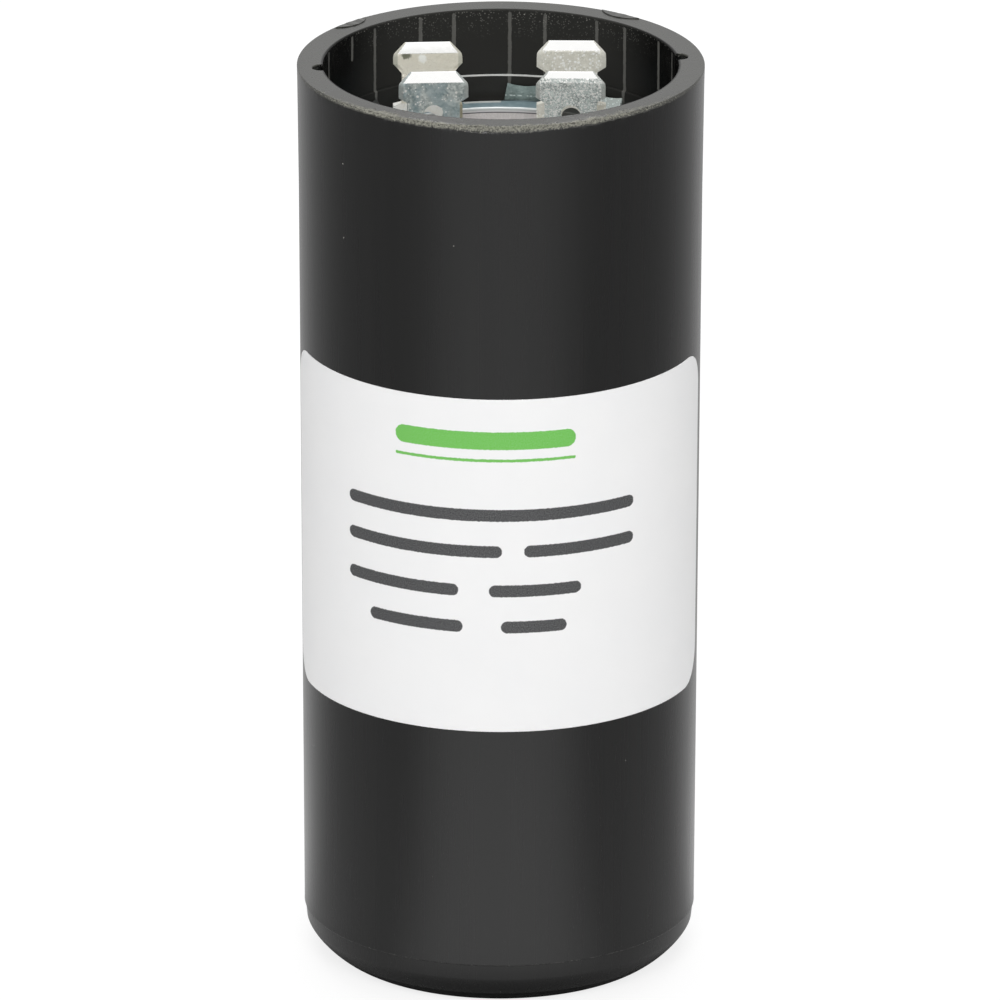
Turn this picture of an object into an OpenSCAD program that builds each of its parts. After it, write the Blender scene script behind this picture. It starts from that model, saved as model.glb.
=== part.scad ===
// Motor start capacitor. A moulded cup holds a wound roll of foil and paper. A header disc with two
// double-blade terminals closes it, and a star-shaped spring ring locks that disc below the open rim.
// The origin is the centre of the base, +Z points up, and the label faces -Y.

/* [Case] */
// Height of the cup, from its base to its rim
case_h = 85.7; // [75:0.1:110]
// Outer diameter at the rim
rim_d = 37.18; // [35:0.02:42]
// Wall thickness at the rim
rim_wall = 2.39; // [1.8:0.01:3]
// Slight outward flare of the outer wall up to the rim
rim_flare = 0.09; // [0:0.01:0.2]
// Height over which the wall flares
rim_flare_h = 6; // [2:0.5:15]
// Moulding draft of the outer wall, in degrees
draft = 0.32; // [0:0.02:0.6]
// Radius round the edge of the base
base_fillet = 4.4; // [2:0.1:5]
// Straight band between that radius and the parting line
foot_band = 0.1; // [0.05:0.05:1]
// Inward step at the parting line
parting_step = 0.08; // [0.02:0.02:0.2]
// Thickness of the floor
floor_t = 3.5; // [2.5:0.1:5]
// Width of the worn break along the rim's outer edge
rim_break = 0.15; // [0.05:0.05:0.4]
// Height of that break
rim_break_h = 0.7; // [0.3:0.1:1.2]

/* [Recess] */
// Depth from the rim to the header's upper face
header_depth = 8.95; // [8:0.05:12]
// Depth from the rim to the small ledge in the bore
ledge_depth = 6.4; // [4:0.1:6.6]
// Inward step of that ledge
ledge_w = 0.15; // [0.05:0.05:0.4]
// Width of the shoulder that carries the seal
shoulder_w = 1.4; // [1:0.1:2]

/* [Rim marks] */
// Turn of the moulded marks about the axis, in degrees
marks_turn = 6; // [-20:0.5:20]
// Width of the two notches in the rim's inner edge
notch_w = 1.8; // [0.8:0.1:2]
// Radial depth of those notches
notch_in = 1; // [0.5:0.1:1.3]
// Depth of those notches below the rim
notch_h = 2.5; // [1:0.1:3.5]
// How far both notches sit towards the rear
notch_back = 0.45; // [0:0.05:1]
// Diameter of the raised ejector pads on the rim
pad_d = 6; // [4:0.1:7]
// How far those pads reach in from the rim's outer edge
pad_reach = 1.2; // [0.5:0.1:1.5]
// Height of those pads above the rim
pad_h = 0.1; // [0.05:0.05:0.4]
// Angle from the rear of the cup to each pad, in degrees
pad_angle = 43; // [25:1:60]
// Margin between those pads and the rim's outer edge
pad_margin = 0.05; // [0.02:0.01:0.2]

/* [Header and seal] */
// Thickness of the header disc
header_t = 3.2; // [2.4:0.1:4]
// Radial clearance of the header disc in its bore
header_clear = 0.15; // [0.05:0.05:0.3]
// Thickness of the sealing ring below the header
gasket_t = 1.6; // [1:0.1:2.5]
// Radial width of the sealing ring
gasket_w = 2.4; // [1.8:0.1:3.5]
// Radial clearance of the sealing ring in its bore
gasket_clear = 0.05; // [0.05:0.05:0.2]
// Diameter of the vent hole in the header
vent_d = 3.2; // [2.4:0.1:3.4]
// Overhang of the vent plug's two lips
vent_lip = 0.7; // [0.4:0.1:0.8]
// Thickness of those lips
vent_lip_h = 0.8; // [0.5:0.1:1.2]
// Diameter of the plug's thin bursting centre
vent_dimple_d = 1.6; // [1:0.1:2]
// Depth of that dimple
vent_dimple_h = 0.5; // [0.2:0.1:1]

/* [Retaining ring] */
// Thickness of the spring steel
ring_t = 0.55; // [0.4:0.05:0.7]
// Radial width of the flat ring, between its prongs
ring_band = 1.7; // [1.2:0.1:3]
// Radial reach of a prong's corners past the flat ring
prong_reach = 1.6; // [1.2:0.02:2]
// Number of prongs
prong_count = 12; // [8:1:14]
// Width of a prong
prong_w = 3.4; // [2:0.1:4]
// Upward bend of the prongs, in degrees
prong_bend = 43; // [30:1:60]
// Inside radius of that bend
prong_bend_r = 0.3; // [0.1:0.05:0.4]
// Turn of the ring about the axis, in degrees
ring_turn = -8.8; // [-15:0.1:15]
// Hollow of the prong tips between their corners
prong_hollow = 0.25; // [0.1:0.05:0.4]
// Radial clearance between the prongs' corners and the bore
prong_clear = 0.03; // [0.01:0.01:0.1]

/* [Terminals] */
// Distance between the two terminals' rivets
terminal_spacing = 12.8; // [12.4:0.1:14]
// Width of a blade
blade_w = 6.35; // [6:0.05:6.5]
// Thickness of the terminal's sheet
blade_t = 0.81; // [0.6:0.01:1]
// Distance between the middles of a terminal's front and rear blades
blade_pitch = 8.8; // [8:0.1:9.6]
// Height of the blade tips above the header
blade_h = 9.7; // [8.5:0.1:12]
// Inside radius of the two folds
fold_r = 0.6; // [0.3:0.1:0.9]
// Height of the bevel at the tip
bevel_h = 0.95; // [0.5:0.05:1.2]
// Depth of that bevel on each face
bevel_in = 0.26; // [0.1:0.02:0.28]
// Width of the bevels along the sides of the head
side_bevel = 0.45; // [0.2:0.05:0.8]
// Depth of those bevels on each face
side_in = 0.2; // [0.05:0.01:0.28]
// Width of the cut corner at the tip
corner_w = 1.1; // [0.5:0.1:1.2]
// Height of the cut corner
corner_h = 1.2; // [0.5:0.1:1.4]
// Height of the head above the side notches
head_h = 2.9; // [2.6:0.1:3.4]
// Height of the side notches
neck_h = 2.9; // [2:0.1:3.2]
// Width left between the side notches
neck_w = 4.75; // [4:0.05:5.5]
// Rise of the notch edges towards the outside
neck_rise = 0.3; // [0.1:0.05:0.5]
// Diameter of the detent hole
detent_d = 1.8; // [1.4:0.1:2.2]
// Distance from the tip to the middle of the detent hole
detent_drop = 4; // [3.8:0.05:4.6]
// Diameter of the wire hole near the foot of a blade
wire_hole_d = 1.8; // [1.4:0.1:1.8]
// Height of that hole's middle above the header
wire_hole_z = 2.35; // [2.3:0.05:2.8]
// Turn of the left terminal about its rivet, in degrees
left_turn = 3.7; // [-4:0.1:4]
// Turn of the right terminal about its rivet, in degrees
right_turn = -0.6; // [-4:0.1:4]

/* [Rivets] */
// Diameter of the rivet shanks
rivet_d = 3; // [2.4:0.1:3.4]
// Diameter of the domed rivet heads
rivet_head_d = 5; // [4.4:0.1:5.4]
// Height of the domed heads
rivet_head_h = 1.2; // [0.8:0.1:1.6]
// Diameter of the clinched ends inside
clinch_d = 4.6; // [4.2:0.1:5.4]
// Height of the clinched ends
clinch_h = 0.9; // [0.6:0.1:1.2]
// Diameter of the washers below the header
washer_d = 6; // [5.6:0.1:7]
// Thickness of those washers
washer_t = 0.6; // [0.4:0.1:1]

/* [Wound roll] */
// Free height between the roll and the sealing ring
head_space = 9.5; // [7:0.1:14]
// Radial gap between the wrapped roll and the cup
roll_clear = 0.6; // [0.3:0.1:1.2]
// Thickness of the paper wrap round the roll
wrap_t = 0.3; // [0.2:0.05:0.6]
// Diameter of the hole that the winding mandrel left
mandrel_d = 4; // [3:0.1:6]
// Thickness of the anchoring compound below the roll
anchor_t = 2; // [1:0.1:4]
// Height to which that compound grips the roll's side
anchor_grip = 6; // [2:0.5:12]

/* [Lead tabs] */
// Width of the foil tabs from the roll to the rivets
tab_w = 5; // [4.6:0.1:6]
// Thickness of those tabs
tab_t = 0.25; // [0.15:0.05:0.4]
// Distance from the rivet to a tab's upright leg
tab_reach = 6.5; // [5:0.1:8]
// Length of a tab past the rivet's middle
tab_end = 2.6; // [2.2:0.1:4]
// Inside radius of a tab's fold
tab_fold_r = 0.8; // [0.4:0.1:1.2]

/* [Label] */
// Height of the label's lower edge above the base
label_z = 27.5; // [10:0.1:30]
// Height of the label
label_h = 32.2; // [20:0.1:36]
// Thickness of the label
label_t = 0.1; // [0.05:0.01:0.2]
// Angle from the front to the label's left edge, in degrees
label_left = 86.5; // [40:0.1:120]
// Angle from the front to the label's right edge, in degrees
label_right = 81.3; // [40:0.1:120]
// Radius of the label's corners
label_corner = 2.8; // [1:0.1:5]

/* [Hidden] */
$fn = 96;

// Overshoot of shapes that only cut
cut = 1;
// Steps in the arc of a prong's bend
bend_steps = 6;
// Direction of the front, where the label's middle is, in degrees
front = 270;

rim_r = rim_d / 2;
mouth_r = rim_r - rim_wall;
seat_r = mouth_r - ledge_w;
chamber_r = seat_r - shoulder_w;
parting_z = base_fillet + foot_band;
// Radius of the drafted outer wall, and of that wall with its flare
function side_r(z) = rim_r - rim_flare - (case_h - z) * tan(draft);
function outer_r(z) = side_r(z) + rim_flare * max(0, 1 - (case_h - z) / rim_flare_h);
flare_z = case_h - rim_flare_h;
foot_r = side_r(parting_z) - parting_step;
break_z = case_h - rim_break_h;
ledge_z = case_h - ledge_depth;

header_top = case_h - header_depth;
header_under = header_top - header_t;
shoulder_z = header_under - gasket_t;

prong_tip_r = seat_r - prong_clear;
prong_corner_x = sqrt(pow(prong_tip_r, 2) - pow(prong_w / 2, 2));
prong_root_r = prong_corner_x - prong_reach;
prong_hollow_r = (pow(prong_w / 2, 2) + pow(prong_hollow, 2)) / (2 * prong_hollow);
prong_outer_r = prong_bend_r + ring_t;
prong_run = (prong_tip_r - prong_root_r) / cos(prong_bend);
ring_outer_d = 2 * sqrt(pow(prong_root_r, 2) + pow(prong_w / 2, 2));
ring_inner_d = ring_outer_d - 2 * ring_band;

terminal_x = terminal_spacing / 2;
blade_y = blade_pitch / 2;
fold_outer_r = fold_r + blade_t;
stack_under = header_under - tab_t - washer_t;

roll_z = floor_t + anchor_t;
roll_h = shoulder_z - head_space - roll_z;
wrap_r = chamber_r - roll_clear;
roll_r = wrap_r - wrap_t;

label_top = label_z + label_h;
label_corner_angle = label_corner / side_r(label_z) * 180 / PI;

// Outline of the cup's outside, from the axis outwards
module case_outline() {
    square([foot_r - base_fillet, parting_z]);
    translate([0, base_fillet])
        square([foot_r, foot_band]);
    translate([foot_r - base_fillet, base_fillet])
        intersection() {
            circle(base_fillet);
            translate([0, -base_fillet])
                square(base_fillet);
        }
    polygon([
        [0, parting_z],
        [side_r(parting_z), parting_z],
        [side_r(flare_z), flare_z],
        [outer_r(break_z), break_z],
        [rim_r - rim_break, case_h],
        [0, case_h]
    ]);
}

// Outline of the hollow: chamber, seal shoulder, header bore and mouth
module case_hollow() {
    polygon([
        [0, floor_t],
        [chamber_r, floor_t],
        [chamber_r, shoulder_z],
        [seat_r, shoulder_z],
        [seat_r, ledge_z],
        [mouth_r, ledge_z],
        [mouth_r, case_h + cut],
        [0, case_h + cut]
    ]);
}

// Round-bottomed notch cut outwards from the bore, towards +X
module rim_notch() {
    translate([0, 0, case_h - notch_h]) {
        translate([mouth_r + notch_in - notch_w / 2, 0, 0])
            cylinder(d = notch_w, h = notch_h + cut);
        translate([mouth_r - cut, -notch_w / 2, 0])
            cube([cut + notch_in - notch_w / 2, notch_w, notch_h + cut]);
    }
}

// Raised pad where an ejector pin overlapped the rim's outer edge, towards +Y, rooted in the rim
module ejector_pad() {
    translate([0, 0, case_h - rim_break_h])
        intersection() {
            translate([0, rim_r - pad_reach + pad_d / 2, 0])
                cylinder(d = pad_d, h = rim_break_h + pad_h);
            cylinder(r = rim_r - rim_break - pad_margin, h = rim_break_h + pad_h);
        }
}

module case_cup() color("#1f1f1e") {
    difference() {
        rotate_extrude()
            difference() {
                case_outline();
                case_hollow();
            }
        for (side = [0, 180])
            translate([0, notch_back, 0])
                rotate(marks_turn + side)
                    rim_notch();
    }
    for (side = [-1, 1])
        rotate(marks_turn + side * pad_angle)
            ejector_pad();
}

// Stretch of the label between two angles and two heights, lying on the drafted wall
module label_band(angle_from, angle_to, z_from, z_to) {
    rotate(angle_from)
        rotate_extrude(angle = angle_to - angle_from)
            polygon([
                [side_r(z_from), z_from],
                [side_r(z_from) + label_t, z_from],
                [side_r(z_to) + label_t, z_to],
                [side_r(z_to), z_to]
            ]);
}

// What is cut off one corner of the label: a square block less a round, pointing out from the axis
module corner_cutter(turn_side, z_side) {
    block = label_corner + cut;
    difference() {
        translate([side_r(label_z) - cut, min(0, turn_side * block), min(0, z_side * block)])
            cube([rim_r - side_r(label_z) + 2 * cut, block, block]);
        rotate([0, 90, 0])
            cylinder(r = label_corner, h = rim_d);
    }
}

module label() color("#eceef0") {
    difference() {
        label_band(front - label_left, front + label_right, label_z, label_top);
        for (z_side = [-1, 1])
            translate([0, 0, z_side < 0 ? label_z + label_corner : label_top - label_corner]) {
                rotate(front - label_left + label_corner_angle)
                    corner_cutter(-1, z_side);
                rotate(front + label_right - label_corner_angle)
                    corner_cutter(1, z_side);
            }
    }
}

// Moves a piece to the left terminal's rivet, side -1, or to the right one's, side 1
module at_terminal(side) {
    translate([side * terminal_x, 0, 0])
        children();
}

module header_disc() color("#a79f9b") {
    difference() {
        translate([0, 0, header_under])
            cylinder(r = seat_r - header_clear, h = header_t);
        translate([0, 0, header_under - cut])
            cylinder(d = vent_d, h = header_t + 2 * cut);
        for (side = [-1, 1])
            at_terminal(side)
                translate([0, 0, header_under - cut])
                    cylinder(d = rivet_d, h = header_t + 2 * cut);
    }
}

module seal_gasket() color("#262626") {
    translate([0, 0, shoulder_z])
        difference() {
            cylinder(r = seat_r - gasket_clear, h = gasket_t);
            translate([0, 0, -cut])
                cylinder(r = seat_r - gasket_clear - gasket_w, h = gasket_t + 2 * cut);
        }
}

module vent_plug() color("#3a3532") {
    lip_d = vent_d + 2 * vent_lip;
    difference() {
        union() {
            translate([0, 0, header_under])
                cylinder(d = vent_d, h = header_t);
            translate([0, 0, header_top])
                cylinder(d = lip_d, h = vent_lip_h);
            translate([0, 0, header_under - vent_lip_h])
                cylinder(d = lip_d, h = vent_lip_h);
        }
        translate([0, 0, header_top + vent_lip_h - vent_dimple_h])
            cylinder(d = vent_dimple_d, h = vent_dimple_h + cut);
    }
}

// Side view of one bent prong: flat root, bend, and a straight run that reaches past the bore
function prong_points() =
    let (
        centre_z = prong_outer_r,
        tip_dir = [cos(prong_bend), sin(prong_bend)],
        under = [for (i = [0 : bend_steps])
            let (a = prong_bend * i / bend_steps)
            [prong_root_r + prong_outer_r * sin(a), centre_z - prong_outer_r * cos(a)]],
        over = [for (i = [bend_steps : -1 : 0])
            let (a = prong_bend * i / bend_steps)
            [prong_root_r + prong_bend_r * sin(a), centre_z - prong_bend_r * cos(a)]],
        inner_r = ring_inner_d / 2 + ring_t
    )
    concat(
        [[inner_r, 0]],
        under,
        [under[bend_steps] + prong_run * tip_dir, over[0] + prong_run * tip_dir],
        over,
        [[inner_r, ring_t]]
    );

module prong() {
    rotate([90, 0, 0])
        linear_extrude(prong_w, center = true)
            polygon(prong_points());
}

// Flat band with a ring of bent prongs, their tips hollowed so that only their corners meet the bore
module retaining_ring() color("#8d9aa1") {
    translate([0, 0, header_top])
        rotate(ring_turn + 90) {
            difference() {
                cylinder(d = ring_outer_d, h = ring_t);
                translate([0, 0, -cut])
                    cylinder(d = ring_inner_d, h = ring_t + 2 * cut);
            }
            for (i = [0 : prong_count - 1])
                rotate(i * 360 / prong_count)
                    difference() {
                        prong();
                        translate([prong_corner_x - prong_hollow + prong_hollow_r, 0, 0])
                            cylinder(r = prong_hollow_r, h = header_depth);
                    }
        }
}

// Quarter of a fold between the base strip and an upright blade, on the +Y side
module fold_quarter() {
    translate([blade_y + blade_t / 2 - fold_outer_r, fold_outer_r])
        intersection() {
            difference() {
                circle(fold_outer_r);
                circle(fold_r);
            }
            translate([0, -fold_outer_r])
                square(fold_outer_r);
        }
}

// One upright blade seen along X, on the +Y side, with its bevelled tip
module blade_side() {
    inner_y = blade_y - blade_t / 2;
    outer_y = blade_y + blade_t / 2;
    polygon([
        [inner_y, fold_outer_r],
        [outer_y, fold_outer_r],
        [outer_y, blade_h - bevel_h],
        [outer_y - bevel_in, blade_h],
        [inner_y + bevel_in, blade_h],
        [inner_y, blade_h - bevel_h]
    ]);
}

// The folded strip seen along X: base, two folds and two blades
module strip_outline() {
    base_y = blade_y + blade_t / 2 - fold_outer_r;
    translate([-base_y, 0])
        square([2 * base_y, blade_t]);
    for (side = [0, 1])
        mirror([side, 0]) {
            fold_quarter();
            blade_side();
        }
}

// Right edge of a blade seen along Y, from the foot up: shoulder, side notch, head and cut corner
function edge_points() =
    let (
        half = blade_w / 2,
        neck = neck_w / 2,
        neck_top = blade_h - head_h,
        neck_foot = neck_top - neck_h
    )
    [
        [half, 0],
        [half, neck_foot + neck_rise],
        [neck, neck_foot],
        [neck, neck_top],
        [half, neck_top + neck_rise],
        [half, blade_h - corner_h],
        [half - corner_w, blade_h]
    ];

// The whole outline of a blade, its right edge followed by that edge mirrored
function face_points() =
    let (right = edge_points(), last = len(right) - 1)
    concat(right, [for (i = [last : -1 : 0]) [-right[i][0], right[i][1]]]);

// Wedges that bevel both faces of the rear blade's head along its +X side
module side_wedges() {
    half = blade_w / 2;
    face = blade_t / 2;
    translate([0, blade_y, blade_h - head_h])
        linear_extrude(head_h + cut)
            for (side = [0, 1])
                mirror([0, side])
                    polygon([
                        [half - side_bevel, face],
                        [half + side_bevel, face - 2 * side_in],
                        [half + side_bevel, face + cut],
                        [half - side_bevel, face + cut]
                    ]);
}

// Hole through both blades, with its middle at a height above the header
module blade_hole(d, z) {
    translate([0, 0, z])
        rotate([90, 0, 0])
            cylinder(d = d, h = blade_pitch + 2 * blade_t, center = true);
}

// Strip folded into a U, with a blade at the front and one at the rear
module terminal() {
    difference() {
        intersection() {
            rotate([90, 0, 90])
                linear_extrude(blade_w, center = true)
                    strip_outline();
            rotate([90, 0, 0])
                linear_extrude(blade_pitch + 2 * blade_t, center = true)
                    polygon(face_points());
        }
        for (x_side = [0, 1], y_side = [0, 1])
            mirror([x_side, 0, 0])
                mirror([0, y_side, 0])
                    side_wedges();
        blade_hole(detent_d, blade_h - detent_drop);
        blade_hole(wire_hole_d, wire_hole_z);
        translate([0, 0, -cut])
            cylinder(d = rivet_d, h = blade_t + 2 * cut);
    }
}

module terminal_left() color("#c9c9c2") {
    at_terminal(-1)
        translate([0, 0, header_top])
            rotate(left_turn)
                terminal();
}

module terminal_right() color("#c9c9c2") {
    at_terminal(1)
        translate([0, 0, header_top])
            rotate(right_turn)
                terminal();
}

// Domed head on the terminal, shank through the stack, clinched end inside
module rivet() {
    dome_r = (pow(rivet_head_h, 2) + pow(rivet_head_d / 2, 2)) / (2 * rivet_head_h);
    head_z = header_top + blade_t;
    translate([0, 0, head_z])
        intersection() {
            translate([0, 0, rivet_head_h - dome_r])
                sphere(dome_r);
            cylinder(d = rivet_head_d, h = rivet_head_h);
        }
    translate([0, 0, stack_under])
        cylinder(d = rivet_d, h = head_z - stack_under);
    translate([0, 0, stack_under - clinch_h])
        cylinder(d = clinch_d, h = clinch_h);
}

module rivet_left() color("#d4d4d2") {
    at_terminal(-1)
        rivet();
}

module rivet_right() color("#d4d4d2") {
    at_terminal(1)
        rivet();
}

module washer() {
    translate([0, 0, stack_under])
        difference() {
            cylinder(d = washer_d, h = washer_t);
            translate([0, 0, -cut])
                cylinder(d = rivet_d, h = washer_t + 2 * cut);
        }
}

module washer_left() color("#c4c6c6") {
    at_terminal(-1)
        washer();
}

module washer_right() color("#c4c6c6") {
    at_terminal(1)
        washer();
}

// Foil tab seen along X: up from the roll, folded flat below the header, pierced by the rivet
module tab_outline() {
    leg_y = tab_reach;
    fold_y = leg_y - tab_fold_r;
    fold_z = header_under - tab_t - tab_fold_r;
    translate([-tab_end, header_under - tab_t])
        square([tab_end + fold_y, tab_t]);
    translate([leg_y, roll_z + roll_h])
        square([tab_t, fold_z - roll_z - roll_h]);
    translate([fold_y, fold_z])
        intersection() {
            difference() {
                circle(tab_fold_r + tab_t);
                circle(tab_fold_r);
            }
            square(tab_fold_r + tab_t);
        }
}

module lead_tab() {
    difference() {
        rotate([90, 0, 90])
            linear_extrude(tab_w, center = true)
                tab_outline();
        translate([0, 0, stack_under])
            cylinder(d = rivet_d, h = header_t);
    }
}

module lead_tab_left() color("#cfd2d4") {
    at_terminal(-1)
        lead_tab();
}

module lead_tab_right() color("#cfd2d4") {
    at_terminal(1)
        rotate(180)
            lead_tab();
}

module winding_roll() color("#b9bcbd") {
    translate([0, 0, roll_z])
        difference() {
            cylinder(r = roll_r, h = roll_h);
            translate([0, 0, -cut])
                cylinder(d = mandrel_d, h = roll_h + 2 * cut);
        }
}

module roll_wrap() color("#c8a878") {
    translate([0, 0, roll_z])
        difference() {
            cylinder(r = wrap_r, h = roll_h);
            translate([0, 0, -cut])
                cylinder(r = roll_r, h = roll_h + 2 * cut);
        }
}

module anchor_compound() color("#141312") {
    translate([0, 0, floor_t])
        difference() {
            cylinder(r = chamber_r, h = anchor_t + anchor_grip);
            translate([0, 0, anchor_t])
                cylinder(r = wrap_r, h = anchor_grip + cut);
        }
}

case_cup();
label();
header_disc();
seal_gasket();
vent_plug();
retaining_ring();
terminal_left();
terminal_right();
rivet_left();
rivet_right();
washer_left();
washer_right();
lead_tab_left();
lead_tab_right();
winding_roll();
roll_wrap();
anchor_compound();
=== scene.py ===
import math

import bmesh
import bpy
import numpy as np
from mathutils import Matrix, Vector

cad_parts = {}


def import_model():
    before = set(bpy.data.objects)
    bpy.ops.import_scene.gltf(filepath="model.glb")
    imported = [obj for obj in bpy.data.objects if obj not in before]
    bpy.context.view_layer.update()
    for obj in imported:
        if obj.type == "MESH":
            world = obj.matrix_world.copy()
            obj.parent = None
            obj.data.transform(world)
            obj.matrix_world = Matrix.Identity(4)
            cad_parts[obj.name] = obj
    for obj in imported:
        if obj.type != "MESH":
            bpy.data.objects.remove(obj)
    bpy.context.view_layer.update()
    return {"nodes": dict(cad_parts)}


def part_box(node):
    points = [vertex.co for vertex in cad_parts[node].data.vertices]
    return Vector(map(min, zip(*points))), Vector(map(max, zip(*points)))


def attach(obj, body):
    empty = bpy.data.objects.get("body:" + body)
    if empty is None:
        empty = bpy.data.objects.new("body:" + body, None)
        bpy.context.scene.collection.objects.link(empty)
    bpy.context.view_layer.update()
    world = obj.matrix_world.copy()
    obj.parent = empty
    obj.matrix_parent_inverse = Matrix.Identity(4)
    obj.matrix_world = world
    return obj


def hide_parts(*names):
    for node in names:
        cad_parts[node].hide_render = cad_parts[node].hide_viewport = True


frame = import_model()

# Motor start capacitor: a moulded cup, a white label, and two double-blade terminals in the open top.
# Lengths are in metres, angles in radians, +Z is up and the label faces -Y.
MM = 0.001
TURN = 2 * math.pi
DEG = math.pi / 180
FRONT = 270 * DEG
BACK = 90 * DEG
# Points closer together than this are one point
MERGE_WITHIN = 1e-7

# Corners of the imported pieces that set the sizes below
_, case_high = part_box("case_cup")
header_low, header_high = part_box("header_disc")
label_low, label_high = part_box("label")
_, left_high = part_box("terminal_left")

# Cup: the broken outer edge of its rim, the draft and flare of its wall, its foot, and its bore downwards
RIM_Z = 85.7 * MM
BREAK_H = 0.7 * MM
BREAK_W = 0.15 * MM
DRAFT = 0.32 * DEG
RIM_FLARE = 0.09 * MM
RIM_FLARE_H = 6 * MM
FOOT_TAPER = 6 * DEG
FOOT_TAPER_H = 1.4 * MM
FOOT_ROUND_W = 3.2 * MM
FOOT_ROUND_POWER = 1.3
PARTING_Z = 4.5 * MM
PARTING_STEP = 0.08 * MM
HEADER_CLEAR = 0.15 * MM
LEDGE_W = 0.15 * MM
LEDGE_DEPTH = 6.4 * MM
SHOULDER_W = 1.4 * MM
SHOULDER_DEPTH = 1.6 * MM
FLOOR_T = 3.5 * MM
RIM_R = case_high.x + BREAK_H * (math.tan(DRAFT) + RIM_FLARE / RIM_FLARE_H)
SEAT_R = header_high.x + HEADER_CLEAR
MOUTH_R = SEAT_R + LEDGE_W
CHAMBER_R = SEAT_R - SHOULDER_W
BREAK_Z = RIM_Z - BREAK_H
LEDGE_Z = RIM_Z - LEDGE_DEPTH
SHOULDER_Z = header_low.z - SHOULDER_DEPTH

# Marks on the cup's rim, as angles from +X
NOTCH_AT = np.array([7.5, 184.5]) * DEG
NOTCH_W = 1.8 * MM
NOTCH_IN = 1.0 * MM
NOTCH_H = 2.5 * MM
PAD_AT = np.array([53, 139]) * DEG
PAD_R = 3 * MM
PAD_H = case_high.z - RIM_Z
PAD_REACH = 1.2 * MM
PAD_MARGIN = 0.05 * MM
PAD_STEP = 0.02 * MM
PAD_MIDDLE_R = RIM_R - PAD_REACH + PAD_R
PAD_EDGE_R = RIM_R - BREAK_W - PAD_MARGIN
# Half the angle that a pad takes: where its circle crosses the rim's outer edge, by the cosine rule
PAD_HALF = math.acos((PAD_MIDDLE_R ** 2 + PAD_EDGE_R ** 2 - PAD_R ** 2) / (2 * PAD_MIDDLE_R * PAD_EDGE_R))

# Marks that the cup's points carry: pale chips, scored lines and dust, and the painted highlights along the
# ledge's edge and the parting line that ride on the chalk and score marks
CUP_MARKS = ("chalk_and_highlight", "score_and_highlight", "bore")

# Star ring
RING_T = 0.55 * MM
RING_BAND = 1.9 * MM
PRONG_COUNT = 12
PRONG_W = 3.4 * MM
PRONG_ROOT_W = 4 * MM
PRONG_BEND = 50.3 * DEG
PRONG_INNER_R = 0.3 * MM
PRONG_REACH = 1.29 * MM
PRONG_HOLLOW = 0.17 * MM
PRONG_CLEAR = 0.03 * MM
PRONG_AT = 81.8 * DEG
PRONG_STEP = TURN / PRONG_COUNT
RING_ROOT_R = math.sqrt((SEAT_R - PRONG_CLEAR) ** 2 - (PRONG_W / 2) ** 2) - PRONG_REACH
RING_OUTER_R = math.hypot(RING_ROOT_R, PRONG_ROOT_W / 2)
RING_INNER_R = RING_OUTER_R - RING_BAND
# Rounding of the sheared edges of the ring and the terminals
SHEET_EDGE = 0.05 * MM

# Terminals
BLADE_W = 6.35 * MM
BLADE_T = 0.81 * MM
BLADE_PITCH = 8.8 * MM
FOLD_R = 0.6 * MM
BEVEL_H = 0.95 * MM
BEVEL_IN = 0.26 * MM
SIDE_BEVEL = 0.45 * MM
SIDE_IN = 0.2 * MM
CORNER_W = 1.1 * MM
CORNER_H = 1.2 * MM
CORNER_SOFT = 0.12 * MM
HEAD_H = 2.9 * MM
NECK_H = 2.9 * MM
NECK_W = 4.75 * MM
NECK_RISE = 0.24 * MM
# Height over which each front and rear head slopes in to its neck
LEFT_SLOPE = (0.45 * MM, 0.9 * MM)
RIGHT_SLOPE = (0.45 * MM, 0.45 * MM)
DETENT_R = 0.9 * MM
DETENT_DROP = 4 * MM
WIRE_HOLE_R = 0.9 * MM
RIVET_R = 1.5 * MM
RIVET_HOLE_R = 1.02 * RIVET_R
# Half the side of the square that is left out of the grid round a hole, in radii of the hole
HOLE_BLOCK = 1.2
TERMINAL_X = 6.4 * MM
LEFT_TURN = 3.7 * DEG
RIGHT_TURN = -0.6 * DEG
LEFT_WIRE_Z = 2.12 * MM
RIGHT_WIRE_Z = 2.5 * MM
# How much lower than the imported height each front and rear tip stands
LEFT_SHORT = (0.14 * MM, 0.16 * MM)
RIGHT_SHORT = (0.10 * MM, 0.0)
HEADER_TOP = header_high.z
TIP_Z = left_high.z
BLADE_H = TIP_Z - HEADER_TOP

# Label, as angles from the front
LABEL_LEFT = 83.5 * DEG
LABEL_RIGHT = 80 * DEG
LABEL_T = 0.06 * MM
LABEL_CORNERS = (3.1 * MM, 3.6 * MM)
LABEL_EDGE = 0.08 * MM
LABEL_GLUE = 0.005 * MM
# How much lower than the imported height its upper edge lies
LABEL_LOWER = 0.07 * MM


def side_radius(z):
    """Radius of the outer wall: the rim's radius less its flare, less the drop below the rim times the draft,
    with the flare coming back over the last stretch below the rim."""
    drop = RIM_Z - z
    return RIM_R - RIM_FLARE * np.minimum(1, drop / RIM_FLARE_H) - drop * math.tan(DRAFT)


def wander(angle, steps, seed):
    """Noise round the axis from -1 to 1: random values at even steps, joined by straight lines."""
    values = np.random.default_rng(seed).uniform(-1, 1, steps)
    return np.interp(angle, np.arange(steps) * TURN / steps, values, period=TURN)


def off_by(angle, places):
    """Signed angle from the nearest of the places, and the index of that place."""
    apart = (angle[:, None] - np.asarray(places)[None, :] + math.pi) % TURN - math.pi
    nearest = np.abs(apart).argmin(axis=1)
    return apart[np.arange(len(angle)), nearest], nearest


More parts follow.
